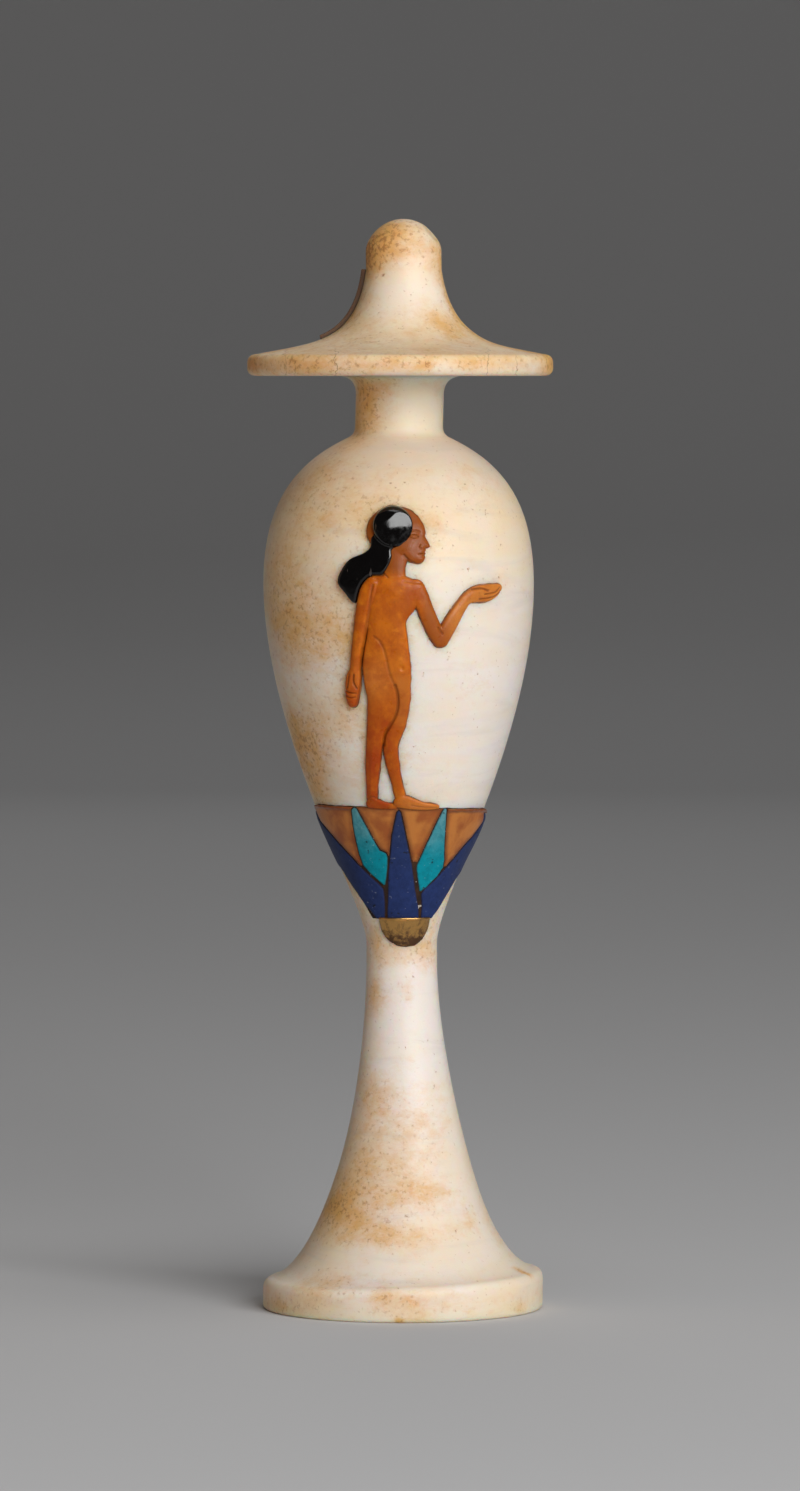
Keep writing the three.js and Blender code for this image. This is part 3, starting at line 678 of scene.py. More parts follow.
# Lines cut into the figure: points in hundredths of its height, and depth and width in millimetres.
CREASES = [
    ([[-8, 57.4], [-6, 55.6], [-4.6, 52.4], [-3.7, 48.1], [-2.8, 44.2], [-1.4, 41]], 0.07, 0.14),
    (
        [[-1.4, 41], [-0.6, 38.1], [-0.5, 34.5], [-1.3, 30.9], [-3.1, 27.4], [-4.7, 24.5], [-5.2, 20.9]],
        0.2,
        0.13,
    ),
    ([[-8.2, 74.6], [-8.9, 71], [-9.4, 66.7], [-10.6, 60.3], [-11.7, 53.4]], 0.09, 0.12),
    ([[-11.7, 53.4], [-12.3, 48.0], [-11.9, 44.4], [-11.7, 40.8], [-12.1, 37.8]], 0.22, 0.1),
    ([[-16.0, 44.6], [-16.3, 42.0], [-16.6, 40.2]], 0.16, 0.08),
    ([[-14.4, 44.6], [-14.5, 42.2], [-13.6, 40.0]], 0.17, 0.08),
    ([[-17.6, 39.6], [-16.0, 38.6], [-13.9, 38.4]], 0.14, 0.07),
    ([[-17.0, 37.6], [-15.6, 36.8], [-14.0, 37.0]], 0.12, 0.06),
    ([[25.2, 68.5], [29.6, 68.6], [32.2, 70.2]], 0.13, 0.075),
    ([[25.9, 69.7], [30.2, 70.3], [33.0, 72.2]], 0.14, 0.075),
    ([[27.6, 71.3], [30.8, 71.9], [32.4, 73.4]], 0.13, 0.075),
    ([[23.6, 73.0], [26.4, 73.3], [28.6, 72.5]], 0.2, 0.09),
    ([[5.6, 66.0], [4.6, 63.9], [3.3, 62.6]], 0.12, 0.09),
    ([[12.6, 60.4], [13.4, 59.0], [13.9, 58.4]], 0.1, 0.1),
    ([[1.9, 75.8], [5.2, 75.4], [8.3, 75.0]], 0.05, 0.1),
    ([[-5.3, 79.0], [-4.4, 78.0], [-3.5, 77.1]], 0.1, 0.07),
    ([[3.6, 0.4], [7.4, -0.2], [11.6, -0.4]], 0.08, 0.07),
    ([[-10.8, 2.2], [-8.8, 3.4], [-7.4, 2.6]], 0.08, 0.1),
    ([[1.6, 84.6], [3.2, 82.9], [5.0, 81.9]], 0.14, 0.1),
    ([[3.0, 90.7], [4.1, 91.3], [5.3, 91.3], [6.2, 90.7]], 0.1, 0.045),
    ([[3.0, 90.7], [4.1, 90.2], [5.3, 90.2], [6.2, 90.7]], 0.07, 0.04),
    ([[2.6, 92.1], [4.4, 92.7], [6.6, 92.4]], 0.06, 0.07),
    ([[8.4, 85.15], [7.4, 85.0], [6.3, 84.9]], 0.11, 0.05),
    ([[6.9, 88.0], [6.6, 87.2], [7.2, 86.6]], 0.08, 0.055),
]
# Low bumps and hollows: (across, up, radius) in hundredths, and rise in millimetres.
SWELLS = [
    (-8.0, 44.5, 5.0, 0.1),
    (-6.6, 34.0, 3.6, 0.06),
    (-8.6, 17.0, 2.0, 0.05),
    (-1.6, 17.5, 1.7, 0.05),
    (0.8, 47.0, 3.2, 0.06),
    (0.9, 46.9, 0.7, -0.16),
    (-3.0, 71.0, 5.0, 0.04),
    (5.6, 91.9, 1.4, -0.06),
    (4.6, 90.75, 0.8, 0.05),
    (3.8, 87.4, 2.0, 0.05),
    (7.7, 87.3, 0.8, 0.04),
    (7.2, 83.0, 1.0, 0.04),
]

# The lotus's pieces as outlines of (across, up): shares of the radius and of the height of the lotus.
LOTUS_TALL = 11.0  # millimetres
GLASS = {
    "blue_sepal_middle": [
        [-0.16, -0.02], [-0.14, 0.39], [-0.094, 0.743], [-0.035, 0.955], [-0.012, 0.972],
        [0.006, 0.955], [0.042, 0.83], [0.128, 0.48], [0.161, 0.251], [0.192, 0.091], [0.197, -0.02],
    ],
    "blue_sepal_left": [
        [-0.189, -0.023], [-0.186, 0.126], [-0.199, 0.249], [-0.249, 0.295], [-0.48, 0.463],
        [-0.705, 0.657], [-0.895, 0.84], [-0.965, 0.935], [-1.02, 0.9], [-0.89, 0.64],
        [-0.638, 0.371], [-0.422, 0.114], [-0.3, -0.006], [-0.278, -0.023],
    ],
    "blue_sepal_right": [
        [0.22, -0.023], [0.233, 0.091], [0.228, 0.206], [0.267, 0.249], [0.385, 0.329],
        [0.605, 0.514], [0.80, 0.709], [0.893, 0.821], [0.945, 0.915], [1.02, 0.88],
        [0.90, 0.64], [0.76, 0.46], [0.63, 0.322], [0.414, 0.05], [0.34, -0.023],
    ],
    "turquoise_petal_left": [
        [-0.556, 0.972], [-0.54, 0.834], [-0.509, 0.697], [-0.473, 0.571], [-0.427, 0.466],
        [-0.336, 0.383], [-0.199, 0.288], [-0.18, 0.291], [-0.157, 0.411], [-0.146, 0.537],
        [-0.16, 0.578], [-0.235, 0.606], [-0.278, 0.661], [-0.393, 0.829], [-0.5, 0.985], [-0.53, 0.994],
    ],
    "turquoise_petal_right": [
        [0.512, 0.992], [0.486, 0.96], [0.442, 0.891], [0.37, 0.777], [0.255, 0.583],
        [0.189, 0.474], [0.183, 0.423], [0.212, 0.223], [0.284, 0.263], [0.414, 0.363],
        [0.483, 0.443], [0.5, 0.514], [0.504, 0.64], [0.533, 0.975],
    ],
}
# Each carnelian field lies between two lines, given by their upper and lower ends (across, up), and
# above a height.
FIELDS = {
    "carnelian_petal_outer_left": (None, ((-0.545, 1.0), (-0.36, 0.4)), 0.46),
    "carnelian_petal_inner_left": (((-0.54, 1.0), (-0.2, 0.45)), ((-0.02, 1.0), (0.0, 0.0)), 0.56),
    "carnelian_petal_inner_right": (((-0.02, 1.0), (0.0, 0.0)), ((0.515, 1.0), (0.22, 0.4)), 0.5),
    "carnelian_petal_outer_right": (((0.515, 1.0), (0.4, 0.4)), None, 0.45),
}
# Half widths of the whole lotus: [up, half width].
WHOLE_LOTUS = [
    [-0.02, 0.33], [0.13, 0.44], [0.28, 0.58], [0.4, 0.68], [0.52, 0.79], [0.66, 0.91], [0.8, 0.98],
    [0.9, 0.997], [0.96, 0.985], [0.985, 0.965], [1, 0.94],
]
# Outline of the calyx, in the same shares.
CALYX = [
    [-0.25, -0.012], [-0.25, -0.05], [-0.225, -0.14], [-0.155, -0.212], [-0.06, -0.258], [0.05, -0.274],
    [0.15, -0.262], [0.24, -0.205], [0.3, -0.11], [0.316, -0.05], [0.316, -0.012],
]


def unevenness(places):
    """Small ups and downs, from -1 to 1, that make a cut edge look hand-made."""
    across, up = places.T
    slow = np.sin(2.3 * across + 1.9 * np.sin(1.3 * up)) * np.cos(2.9 * up + 0.7)
    return 0.6 * slow + 0.4 * np.sin(6.1 * across - 1.0) * np.sin(7.3 * up + 0.4)


class LotusShape:
    """The lotus's pieces, in flat millimetres."""

    def __init__(self, shape):
        self.shape = shape
        self.wide = float(shape.radius_at(shape.lotus_height))
        self.foot = shape.lotus_height - LOTUS_TALL

    def flat(self, rows):
        """Rows of (across, up) in shares as flat places."""
        rows = np.asarray(rows, float)
        up = self.foot + rows[:, 1] * LOTUS_TALL
        radius = self.shape.radius_at(up)
        share = rows[:, 0] * self.wide / radius
        past = np.sign(share) * np.maximum(np.abs(share) - 1, 0)
        turn = np.arcsin(np.clip(share, -1, 1)) + 1.6 * past
        return np.column_stack([radius * turn, up])

    def corners(self, rows):
        """A closed outline with more points along its straight edges."""
        ring = np.asarray(rows, float)
        shares = np.arange(6)[None, :, None] / 6
        fine = ring[:, None, :] + shares * (np.roll(ring, -1, 0) - ring)[:, None, :]
        return self.flat(fine.reshape(-1, 2))

    def glass_depth(self, places, name):
        """How far each place lies inside a piece of glass."""
        return outline_depth(places, self.corners(GLASS[name])) + 0.02 * unevenness(places)

    def all_glass(self, places):
        """How far each place lies inside the nearest piece of glass."""
        return np.max([self.glass_depth(places, name) for name in GLASS], axis=0)

    def whole_depth(self, places):
        """How far each place lies inside the whole lotus."""
        rows = np.asarray(WHOLE_LOTUS)
        ring = np.concatenate([rows[:, [1, 0]], (rows * [1, -1])[::-1, [1, 0]]])
        return np.minimum(outline_depth(places, self.corners(ring)), self.upper_edge(places) - places[:, 1])

    def upper_edge(self, places):
        """Height of the lotus's upper edge, which slopes down a little to the right."""
        across = places[:, 0]
        return self.shape.lotus_height - 0.04 * np.maximum(across, 0) - 0.35 * blend_step(across, 11.0, 13.5)

    def beside(self, places, ends, side):
        """How far each place lies to the right (side 1) or left (side -1) of a line."""
        top, low = self.flat(ends)
        way = (top - low) / np.hypot(*(top - low))
        gap = places - low
        return side * (gap[:, 0] * way[1] - gap[:, 1] * way[0])

    def field_depth(self, places, name):
        """How far each place lies inside a carnelian field, which leaves room for cement round the glass."""
        left, right, lowest = FIELDS[name]
        depth = np.minimum(self.whole_depth(places), -self.all_glass(places) - 0.1)
        depth = np.minimum(depth, places[:, 1] - self.flat([[0, lowest]])[0, 1])
        if left:
            depth = np.minimum(depth, self.beside(places, left, 1))
        if right:
            depth = np.minimum(depth, self.beside(places, right, -1))
        return depth + 0.015 * unevenness(places)

    def side_lift(self, places):
        """How far the petals stand proud at the sides, most of all at the upper right."""
        up = (places[:, 1] - self.foot) / LOTUS_TALL
        upper = blend_step(up, 0.3, 0.8) * (1 - 0.85 * blend_step(up, 0.84, 0.96))
        return upper * (0.4 * blend_step(places[:, 0], 5, 11) + 0.16 * blend_step(-places[:, 0], 5, 11))

    def glass_height(self, places, name):
        """Relief of a piece of glass, a low cushion."""
        return dome(self.glass_depth(places, name), 0.3, 0.15, 0.6) + self.side_lift(places)

    def field_height(self, places, name):
        """A low cushion, with a ridge along the upper edge of the outer fields."""
        height = dome(self.field_depth(places, name), 0.8, 0.17, 0.5)
        if "outer" in name:
            from_top = self.upper_edge(places) - places[:, 1]
            height += 0.2 * np.exp(-(((from_top - 0.14) / 0.16) ** 2)) * (1 + 0.3 * unevenness(places))
        return height + self.side_lift(places)

    def field_tones(self, places, name):
        """How brown the stone is along the upper ridge of the outer fields."""
        from_top = self.upper_edge(places) - places[:, 1]
        ridge = np.exp(-((np.maximum(from_top - 0.26 - 0.12 * unevenness(places), 0) / 0.14) ** 2))
        return {"ridge": ridge * (1.0 if "outer" in name else 0.3)}

    def calyx_depth(self, places):
        """How far each place lies inside the calyx."""
        return outline_depth(places, self.corners(CALYX)) + 0.015 * unevenness(places)

    def calyx_height(self, places):
        """Half of a round cup, deepest at its upper edge."""
        middle, top = self.flat([[0.03, -0.012]])[0]
        half_width, tall = 2.5, 2.95
        off = ((places[:, 0] - middle) / half_width) ** 2 + ((places[:, 1] - top) / tall) ** 2
        rim = np.exp(-(((top - places[:, 1] - 0.12) / 0.1) ** 2))
        return 0.1 + 0.62 * np.sqrt(np.clip(1 - off, 0, 1)) + 0.1 * rim + 0.012 * unevenness(1.7 * places)


def snapped(flat, depth_of, cell):
    """Moves the flat places near an outline onto it, and tells all depths from before and which moved."""
    depth = depth_of(flat)
    close = np.abs(depth) < 0.62 * cell
    edge = flat[close]
    step = 0.25 * cell
    slope = [(depth_of(edge + offset) - depth_of(edge - offset)) / (2 * step) for offset in np.eye(2) * step]
    slope = np.column_stack(slope)
    steep = np.maximum((slope**2).sum(1), 0.5)
    flat[close] -= (depth[close] / steep)[:, None] * slope
    return depth, close


def close_piece(piece, gone):
    """Deletes the faces of a grid that are gone, and gives the rest its sides and its back."""
    deselect_faces()
    piece.data.polygons.foreach_set("select", gone)
    bpy.ops.object.mode_set(mode="EDIT")
    bpy.ops.mesh.delete(type="FACE")
    bpy.ops.mesh.select_all(action="SELECT")
    bpy.ops.mesh.region_to_loop()
    bpy.ops.mesh.extrude_edges_move(TRANSFORM_OT_translate={"value": (0, 0, -MM)})
    bpy.ops.mesh.fill(use_beauty=False)
    bpy.ops.mesh.select_all(action="SELECT")
    bpy.ops.mesh.normals_make_consistent(inside=False)
    bpy.ops.object.mode_set(mode="OBJECT")


def flat_piece(name, shape, low, high, depth_of, height_of, cell, sink, tones_of=None):
    """An inlay cut from a fine grid along its outline, raised to its relief, closed and laid on the jar.

    The grid reaches from the flat place low to high, and the inlay's back lies at a depth of sink.
    """
    low, high = np.array(low), np.array(high)
    counts = np.maximum(np.ceil((high - low) / cell).astype(int), 2)
    grid = {"x_subdivisions": counts[0], "y_subdivisions": counts[1], "size": MM}
    piece = start_piece(name, bpy.ops.mesh.primitive_grid_add, **grid)
    flat = (low + high) / 2 + places_of(piece)[:, :2] * (high - low)
    depth, moved = snapped(flat, depth_of, cell)
    corner = np.empty(len(piece.data.loops), int)
    piece.data.loops.foreach_get("vertex_index", corner)
    corner = corner.reshape(-1, 4)
    outside = (depth < 0) & ~moved
    gone = outside[corner].any(1) | (depth[corner].mean(1) < 0)
    put_places(piece, np.column_stack([flat, np.zeros(len(flat))]))
    close_piece(piece, gone)
    places = places_of(piece)
    front = places[:, 2] > -0.5
    flat = places[:, :2]
    raised = np.full(len(flat), -sink)
    raised[front] = height_of(flat[front])
    put_values(piece, "edge", np.clip(depth_of(flat) / 0.6, 0, 1))
    for tone, values in (tones_of(flat) if tones_of else {}).items():
        put_values(piece, tone, values)
    radius = shape.radius_at(flat[:, 1])
    around = flat[:, 0] / radius
    lifted = radius + raised
    laid = np.column_stack([lifted * np.sin(around), -lifted * np.cos(around), flat[:, 1]])
    put_places(piece, shape.hand_cut(laid))
    return piece


# Stains on the stone: [degrees from the jar's front towards +X, height, half width, half height, strength],
# with lengths in millimetres. A half width of 60 makes a ring, and a strength below 0 a cleaner place.
VASE_STAINS = [
    [0, 1.0, 60, 1.8, 0.15], [0, 1.0, 5.0, 1.8, 0.2], [-30, 66.5, 2.6, 3.0, 0.2],
    [0, 84.6, 5.0, 3.0, -0.3], [-50, 91, 2.0, 2.6, 0.4], [-62, 54.5, 3.0, 3.6, 0.5],
    [-46, 89.6, 2.4, 3.4, 0.85], [0, 92.1, 4.4, 0.5, 0.3], [62, 91.4, 1.4, 2.0, 0.2],
    [-38, 80.6, 6.8, 4.0, 0.48], [32, 82.4, 6.2, 2.4, 0.2], [-14, 79.2, 2.4, 2.4, 0.2],
    [17, 77.6, 1.3, 2.0, 0.25], [-43, 68.6, 5.2, 4.4, 0.62], [-62, 70.5, 3.6, 4.2, 0.4],
    [-52, 57.4, 5.4, 2.6, 0.62], [-29, 61.2, 2.2, 2.6, 0.25], [35, 62.8, 2.8, 2.2, 0.15],
    [-72, 43.8, 2.2, 3.4, 0.5], [-70, 53, 2.4, 4.0, 0.5], [60, 43, 2.2, 3.2, 0.5],
    [48, 37.6, 1.6, 2.6, 0.5], [-42, 37.2, 1.4, 2.6, 0.4], [6, 35.7, 3.6, 1.1, 0.75],
    [-46, 31.4, 2.0, 2.0, 0.42], [8, 31.8, 0.7, 1.4, 0.35], [-36, 21.2, 2.2, 2.0, 0.35],
    [0, 17.5, 5.6, 4.6, 0.3], [-58, 10.2, 2.4, 1.2, 0.6], [-44, 10.6, 5.4, 2.6, 0.5],
    [-10, 8.1, 5.6, 1.2, 0.5], [12, 11.8, 2.4, 1.2, 0.45], [-36, 14.0, 3.4, 3.2, 0.4],
    [52, 9.4, 1.2, 1.6, 0.5], [80, 7.4, 1.6, 2.6, 0.35], [-8.4, 2.7, 1.1, 0.7, 0.7],
    [2, 2.3, 0.9, 0.5, 0.5], [-33, 3.5, 4.0, 1.2, 0.4], [-60, 1.1, 2.4, 0.8, 0.5],
    [56, 0.7, 0.9, 0.6, 0.5], [68, 3.6, 0.5, 0.4, 1.3], [-1.5, 0.2, 0.32, 0.25, 2.6],
    [150, 66, 6.0, 5.0, 0.6], [-150, 58, 5.0, 4.0, 0.5], [-115, 80, 5.0, 4.0, 0.5],
    [120, 46, 3.0, 3.0, 0.4], [175, 20, 3.0, 5.0, 0.5], [-120, 9, 5.0, 2.5, 0.6],
    [140, 7, 4.0, 2.0, 0.5], [-170, 2, 4.0, 1.2, 0.6],
]
LID_STAINS = [
    [-60, 105.4, 1.8, 1.8, 1.5], [0, 94.0, 60, 1.6, 0.42], [0, 97.5, 60, 2.0, 0.25],
    [0, 105.6, 60, 2.0, 0.15], [-40, 106.0, 1.6, 1.2, 0.6], [-66, 104.4, 2.0, 1.8, 0.9],
    [78, 99.5, 1.6, 3.6, 0.6], [-74, 98.0, 1.6, 3.4, 0.5], [-24, 104.9, 2.5, 1.3, 0.75],
    [56, 104.4, 1.6, 1.5, 0.55], [0, 107.0, 3.2, 0.9, 0.55], [42, 97.0, 1.6, 1.6, 0.5],
    [-28, 96.0, 2.4, 0.8, 0.35], [-43, 93.6, 2.6, 0.9, 0.55], [-20, 93.2, 3.0, 0.7, 0.45],
    [-3, 93.9, 1.6, 0.6, 0.4], [9.8, 93.6, 0.6, 0.7, 1.1], [27, 93.6, 1.3, 0.6, 0.55],
    [80, 93.9, 2.2, 1.1, 0.7], [-80, 93.6, 3.4, 1.3, 0.5], [130, 95, 4.0, 1.5, 0.6],
    [-140, 94.4, 5.0, 1.5, 0.6], [170, 104, 2.0, 2.0, 0.6], [-100, 99, 2.0, 2.0, 0.4],
]
# Hairline cracks at the lid's front: (across, height of the upper end, strength), in millimetres.
LID_CRACKS = [(-11.2, 95.6, 0.6), (-10.3, 94.9, 0.4), (-6.2, 95.4, 0.8), (8.6, 95.5, 0.6), (11.4, 94.8, 0.6)]
# How warm the stone is by height: [height, share of cream].
WARMTH = [
    [0, 0.75], [1.5, 0.6], [3, 0.35], [8, 0.45], [16, 0.42], [21, 0.2], [27, 0.02], [34, 0.05],
    [42, 0.35], [51, 0.3], [56, 0.06], [66, 0.2], [74, 0.42], [77, 0.6], [80, 0.85], [84, 0.6],
    [87, 0.75], [89, 0.45], [92.5, 0.4], [94.5, 0.95], [97, 0.85], [99.5, 0.5], [101, 0.4],
    [103.5, 0.8], [108, 0.85],
]


def stained(places, stains):
    """How strongly each place of the stone is stained."""
    x, y, z = places.T
    radius = np.hypot(x, y)
    around = np.arctan2(x, -y)
    strength = np.zeros(len(places))
    for degrees, height, half_width, half_height, most in stains:
        turn = (around - math.radians(degrees) + math.pi) % math.tau - math.pi
        off = (turn * np.maximum(radius, 1.0) / half_width) ** 2 + ((z - height) / half_height) ** 2
        strength += most * np.exp(-0.8 * off)
    return 1.5 * (1 - np.exp(-strength))


def paint_stone(piece, places, stains, more, sides):
    """Stores the stains and the warm tone of the stone on its vertices; sides add painted shade, more stain
    and a warmer tone on the shaded left and a warm shaded band on the right edge.
    """
    strength = stained(places, stains) + more
    x, y, z = places.T
    side = x / np.maximum(np.hypot(x, y), 0.1)
    # Painted shade: the left side, turned away from the key light, and the outermost right edge get extra
    # stain by sides and a warmer tone.
    left = blend_step(-side, 0.35, 0.95)
    right = blend_step(side, 0.86, 1.0)
    put_values(piece, "stain", strength + sides[0] * left + sides[1] * right)
    heights, shares = np.array(WARMTH).T
    # The warm tone by height is the stone's own; the shares added on the left and right are painted shade.
    put_values(piece, "warmth_and_side_shade", np.interp(z, heights, shares) + 0.4 * left + 0.2 * right)


# Materials


def add(tree, kind, inputs=None, **settings):
    """Adds a node, sets its settings, and links or fills its inputs."""
    node = tree.nodes.new(kind)
    for name, value in settings.items():
        setattr(node, name, value)
    for key, value in (inputs or {}).items():
        if isinstance(value, bpy.types.NodeSocket):
            tree.links.new(value, node.inputs[key])
        else:
            node.inputs[key].default_value = value
    return node


def new_material(name, **values):
    """A material with an empty shader, and its place in millimetres."""
    material = bpy.data.materials.new(name)
    material.use_nodes = True
    tree = material.node_tree
    tree.nodes.clear()
    shader = add(tree, "ShaderNodeBsdfPrincipled", values)
    output = add(tree, "ShaderNodeOutputMaterial")
    tree.links.new(shader.outputs["BSDF"], output.inputs["Surface"])
    place = add(tree, "ShaderNodeTexCoord").outputs["Object"]
    return material, tree, shader, place


def noise(tree, place, scale, detail=4.0, rough=0.5, distortion=0.0):
    """Cloudy noise from 0 to 1, whose scale is a number of lumps per millimetre, or one for each axis."""
    each = scale if isinstance(scale, tuple) else (scale, scale, scale)
    spread = add(tree, "ShaderNodeMapping", {"Vector": place, "Scale": tuple(axis / MM for axis in each)})
    inputs = {
        "Vector": spread.outputs["Vector"],
        "Scale": 1.0,
        "Detail": detail,
        "Roughness": rough,
        "Distortion": distortion,
    }
    return add(tree, "ShaderNodeTexNoise", inputs).outputs["Fac"]


def between(tree, value, low, high, start=0.0, end=1.0):
    """Smoothly maps low..high to start..end."""
    inputs = {"Value": value, "From Min": low, "From Max": high, "To Min": start, "To Max": end}
    return add(tree, "ShaderNodeMapRange", inputs, interpolation_type="SMOOTHSTEP").outputs["Result"]


def maths(tree, operation, first, second=0.0, clamp=False):
    """One step of arithmetic on two values."""
    return add(tree, "ShaderNodeMath", {0: first, 1: second}, operation=operation, use_clamp=clamp).outputs[0]


def plus(tree, value, more, share):
    """A value plus a share of another."""
    return maths(tree, "ADD", value, maths(tree, "MULTIPLY", more, share))


def mixed(tree, share, first, second):
    """A mix of two colours by a share."""
    node = add(tree, "ShaderNodeMix", {0: share}, data_type="RGBA")
    for key, value in ((6, first), (7, second)):
        if isinstance(value, bpy.types.NodeSocket):
            tree.links.new(value, node.inputs[key])
        else:
            node.inputs[key].default_value = (*value, 1.0)
    return node.outputs[2]


def stored(tree, name):
    """A number stored on the piece's vertices."""
    return add(tree, "ShaderNodeAttribute", attribute_name=name).outputs["Fac"]


def bumped(tree, shader, height, distance):
    """Gives the shader a bump whose height is in millimetres."""
    node = add(tree, "ShaderNodeBump", {"Height": height, "Distance": distance * MM, "Strength": 1.0})
    tree.links.new(node.outputs["Normal"], shader.inputs["Normal"])


def wandering(tree, place, value, scale, rough, reach, detail=4.0):
    """A length that strays up to half of reach, in millimetres, to each side."""
    stray = maths(tree, "SUBTRACT", noise(tree, place, scale, detail, rough), 0.5)
    return plus(tree, value, stray, reach * MM)


def cracked(tree, place, stone, cracks):
    """Darkens the stone along thin upright cracks at places across the front, below a height."""
    parts = add(tree, "ShaderNodeSeparateXYZ", {"Vector": place}).outputs
    across = wandering(tree, place, parts["X"], 0.7, 0.6, 1.8, detail=5.0)
    front = between(tree, parts["Y"], -2.0 * MM, -3.0 * MM)
    whole = None
    for where, top, strength in cracks:
        gap = maths(tree, "ABSOLUTE", maths(tree, "SUBTRACT", across, where * MM))
        line = between(tree, gap, 0.07 * MM, 0.0, 0.0, strength)
        line = maths(tree, "MULTIPLY", line, between(tree, parts["Z"], top * MM, (top - 0.6) * MM))
        whole = line if whole is None else maths(tree, "MAXIMUM", whole, line)
    whole = maths(tree, "MULTIPLY", whole, front)
    return mixed(tree, whole, stone, bpy.context.scene.jar_colours.deep_stain_and_shade)


def travertine(name, cracks=()):
    """Polished cream stone with faint bands, clouds, honey stains, specks and pits."""
    tint = bpy.context.scene.jar_colours
    material, tree, shader, place = new_material(
        name,
        **{
            "IOR": 1.5,
            "Specular IOR Level": 0.38,
            "Subsurface Weight": 0.85,
            "Subsurface Radius": (1.0, 0.5, 0.25),
            "Subsurface Scale": 2.2 * MM,
        },
    )
    # The stored stain and warm tone hold the stone's real stains and tone, and also painted shade on the
    # jar's sides and on the lid's shard.
    stain, warm = stored(tree, "stain"), stored(tree, "warmth_and_side_shade")
    bands = between(tree, noise(tree, place, (0.05, 0.05, 0.26), 4.0, 0.6, 0.9), 0.4, 0.66)
    clouds = between(tree, noise(tree, place, 0.13, 5.0, 0.55), 0.35, 0.68)
    patches = plus(tree, maths(tree, "MULTIPLY", clouds, 0.5), bands, 0.4)
    patches = maths(tree, "MULTIPLY", maths(tree, "SUBTRACT", patches, 0.42), 0.55)
    stone = mixed(tree, maths(tree, "ADD", patches, warm, clamp=True), tint.stone, tint.cream)
    veil = between(tree, noise(tree, place, (0.06, 0.06, 0.34), 5.0, 0.6, 1.0), 0.5, 0.7, 0.0, 0.3)
    stone = mixed(tree, veil, stone, tint.veil)
    ragged = noise(tree, place, (0.55, 0.55, 0.8), 10.0, 0.78, 0.3)
    broad = noise(tree, place, (0.16, 0.16, 0.26), 4.0, 0.55)
    raised = maths(tree, "ADD", plus(tree, stain, ragged, 1.9), broad)
    honey = between(tree, raised, 1.5, 2.8)
    stone = mixed(tree, honey, stone, tint.stain)
    stone = mixed(tree, between(tree, raised, 2.65, 4.0), stone, tint.deep_stain_and_shade)
    grit = noise(tree, place, 2.3, 3.0, 0.6)
    warm_grit = between(tree, plus(tree, grit, warm, 0.05), 0.66, 0.78, 0.0, 0.45)
    stained_grit = between(tree, plus(tree, grit, stain, 0.1), 0.6, 0.74, 0.0, 0.6)
    stained_grit = maths(tree, "MULTIPLY", stained_grit, stain, clamp=True)
    stone = mixed(tree, maths(tree, "MAXIMUM", stained_grit, warm_grit), stone, tint.grit)
    speck = between(tree, grit, 0.7, 0.77, 0.0, 0.5)
    stone = mixed(tree, speck, stone, tint.deep_stain_and_shade)
    # Painted shade on the lid's shard, the only place where the stain runs this high.
    stone = mixed(tree, between(tree, stain, 2.4, 2.9, 0.0, 0.8), stone, tint.shard_shade)
    if cracks:
        stone = cracked(tree, place, stone, cracks)
    tree.links.new(stone, shader.inputs["Base Color"])
    tree.links.new(plus(tree, 0.42, honey, 0.14), shader.inputs["Roughness"])
    bumped(tree, shader, plus(tree, noise(tree, place, 1.6, 6.0, 0.62), speck, -0.6), 0.03)
    return material


def figure_carnelian():
    """Translucent orange-brown stone, amber on the trunk, browner on the head and arm, redder on the legs."""
    tint = bpy.context.scene.jar_colours
    material, tree, shader, place = new_material(
        "figure_carnelian",
        **{
            "IOR": 1.54,
            "Specular IOR Level": 0.2,
            "Subsurface Weight": 0.45,
            "Subsurface Radius": (1.0, 0.35, 0.1),
            "Subsurface Scale": 0.7 * MM,
        },
    )
    clouds = noise(tree, place, 0.5, 6.0, 0.66, 0.3)
    amber = between(tree, clouds, 0.38, 0.64)
    stone = mixed(tree, amber, tint.carnelian, tint.carnelian_amber)
    spots = between(tree, noise(tree, place, 1.1, 4.0, 0.6), 0.56, 0.74, 0.0, 0.5)
    stone = mixed(tree, spots, stone, tint.carnelian_spots)
    rosy = maths(tree, "MULTIPLY", stored(tree, "rosy"), between(tree, clouds, 0.25, 0.6, 0.7, 1.0))
    stone = mixed(tree, rosy, stone, tint.carnelian_rosy)
    patches = between(tree, noise(tree, place, 0.9, 4.0, 0.5), 0.35, 0.6, 1.0, 0.45)
    stone = mixed(tree, maths(tree, "MULTIPLY", stored(tree, "deep"), patches), stone, tint.carnelian_red)
    pale = maths(tree, "MULTIPLY", stored(tree, "pale"), between(tree, clouds, 0.3, 0.6, 0.45, 0.9))
    stone = mixed(tree, pale, stone, tint.carnelian_pale)
    rim = between(tree, stored(tree, "edge"), 0.22, 0.0, 0.0, 0.5)
    grain = between(tree, noise(tree, place, 2.4, 4.0, 0.6), 0.58, 0.75, 0.0, 0.3)
    # Darker along the edges and in the grain, and painted shade in the creases.
    dark = maths(tree, "MAXIMUM", maths(tree, "MAXIMUM", rim, grain), stored(tree, "crease_shade"))
    stone = mixed(tree, dark, stone, tint.carnelian_deep_and_crease_shade)
    tree.links.new(stone, shader.inputs["Base Color"])
    rough = between(tree, noise(tree, place, 1.1, 4.0, 0.6), 0.3, 0.7, 0.26, 0.42)
    tree.links.new(rough, shader.inputs["Roughness"])
    bumped(tree, shader, noise(tree, place, 1.5, 5.0, 0.6), 0.035)
    return material


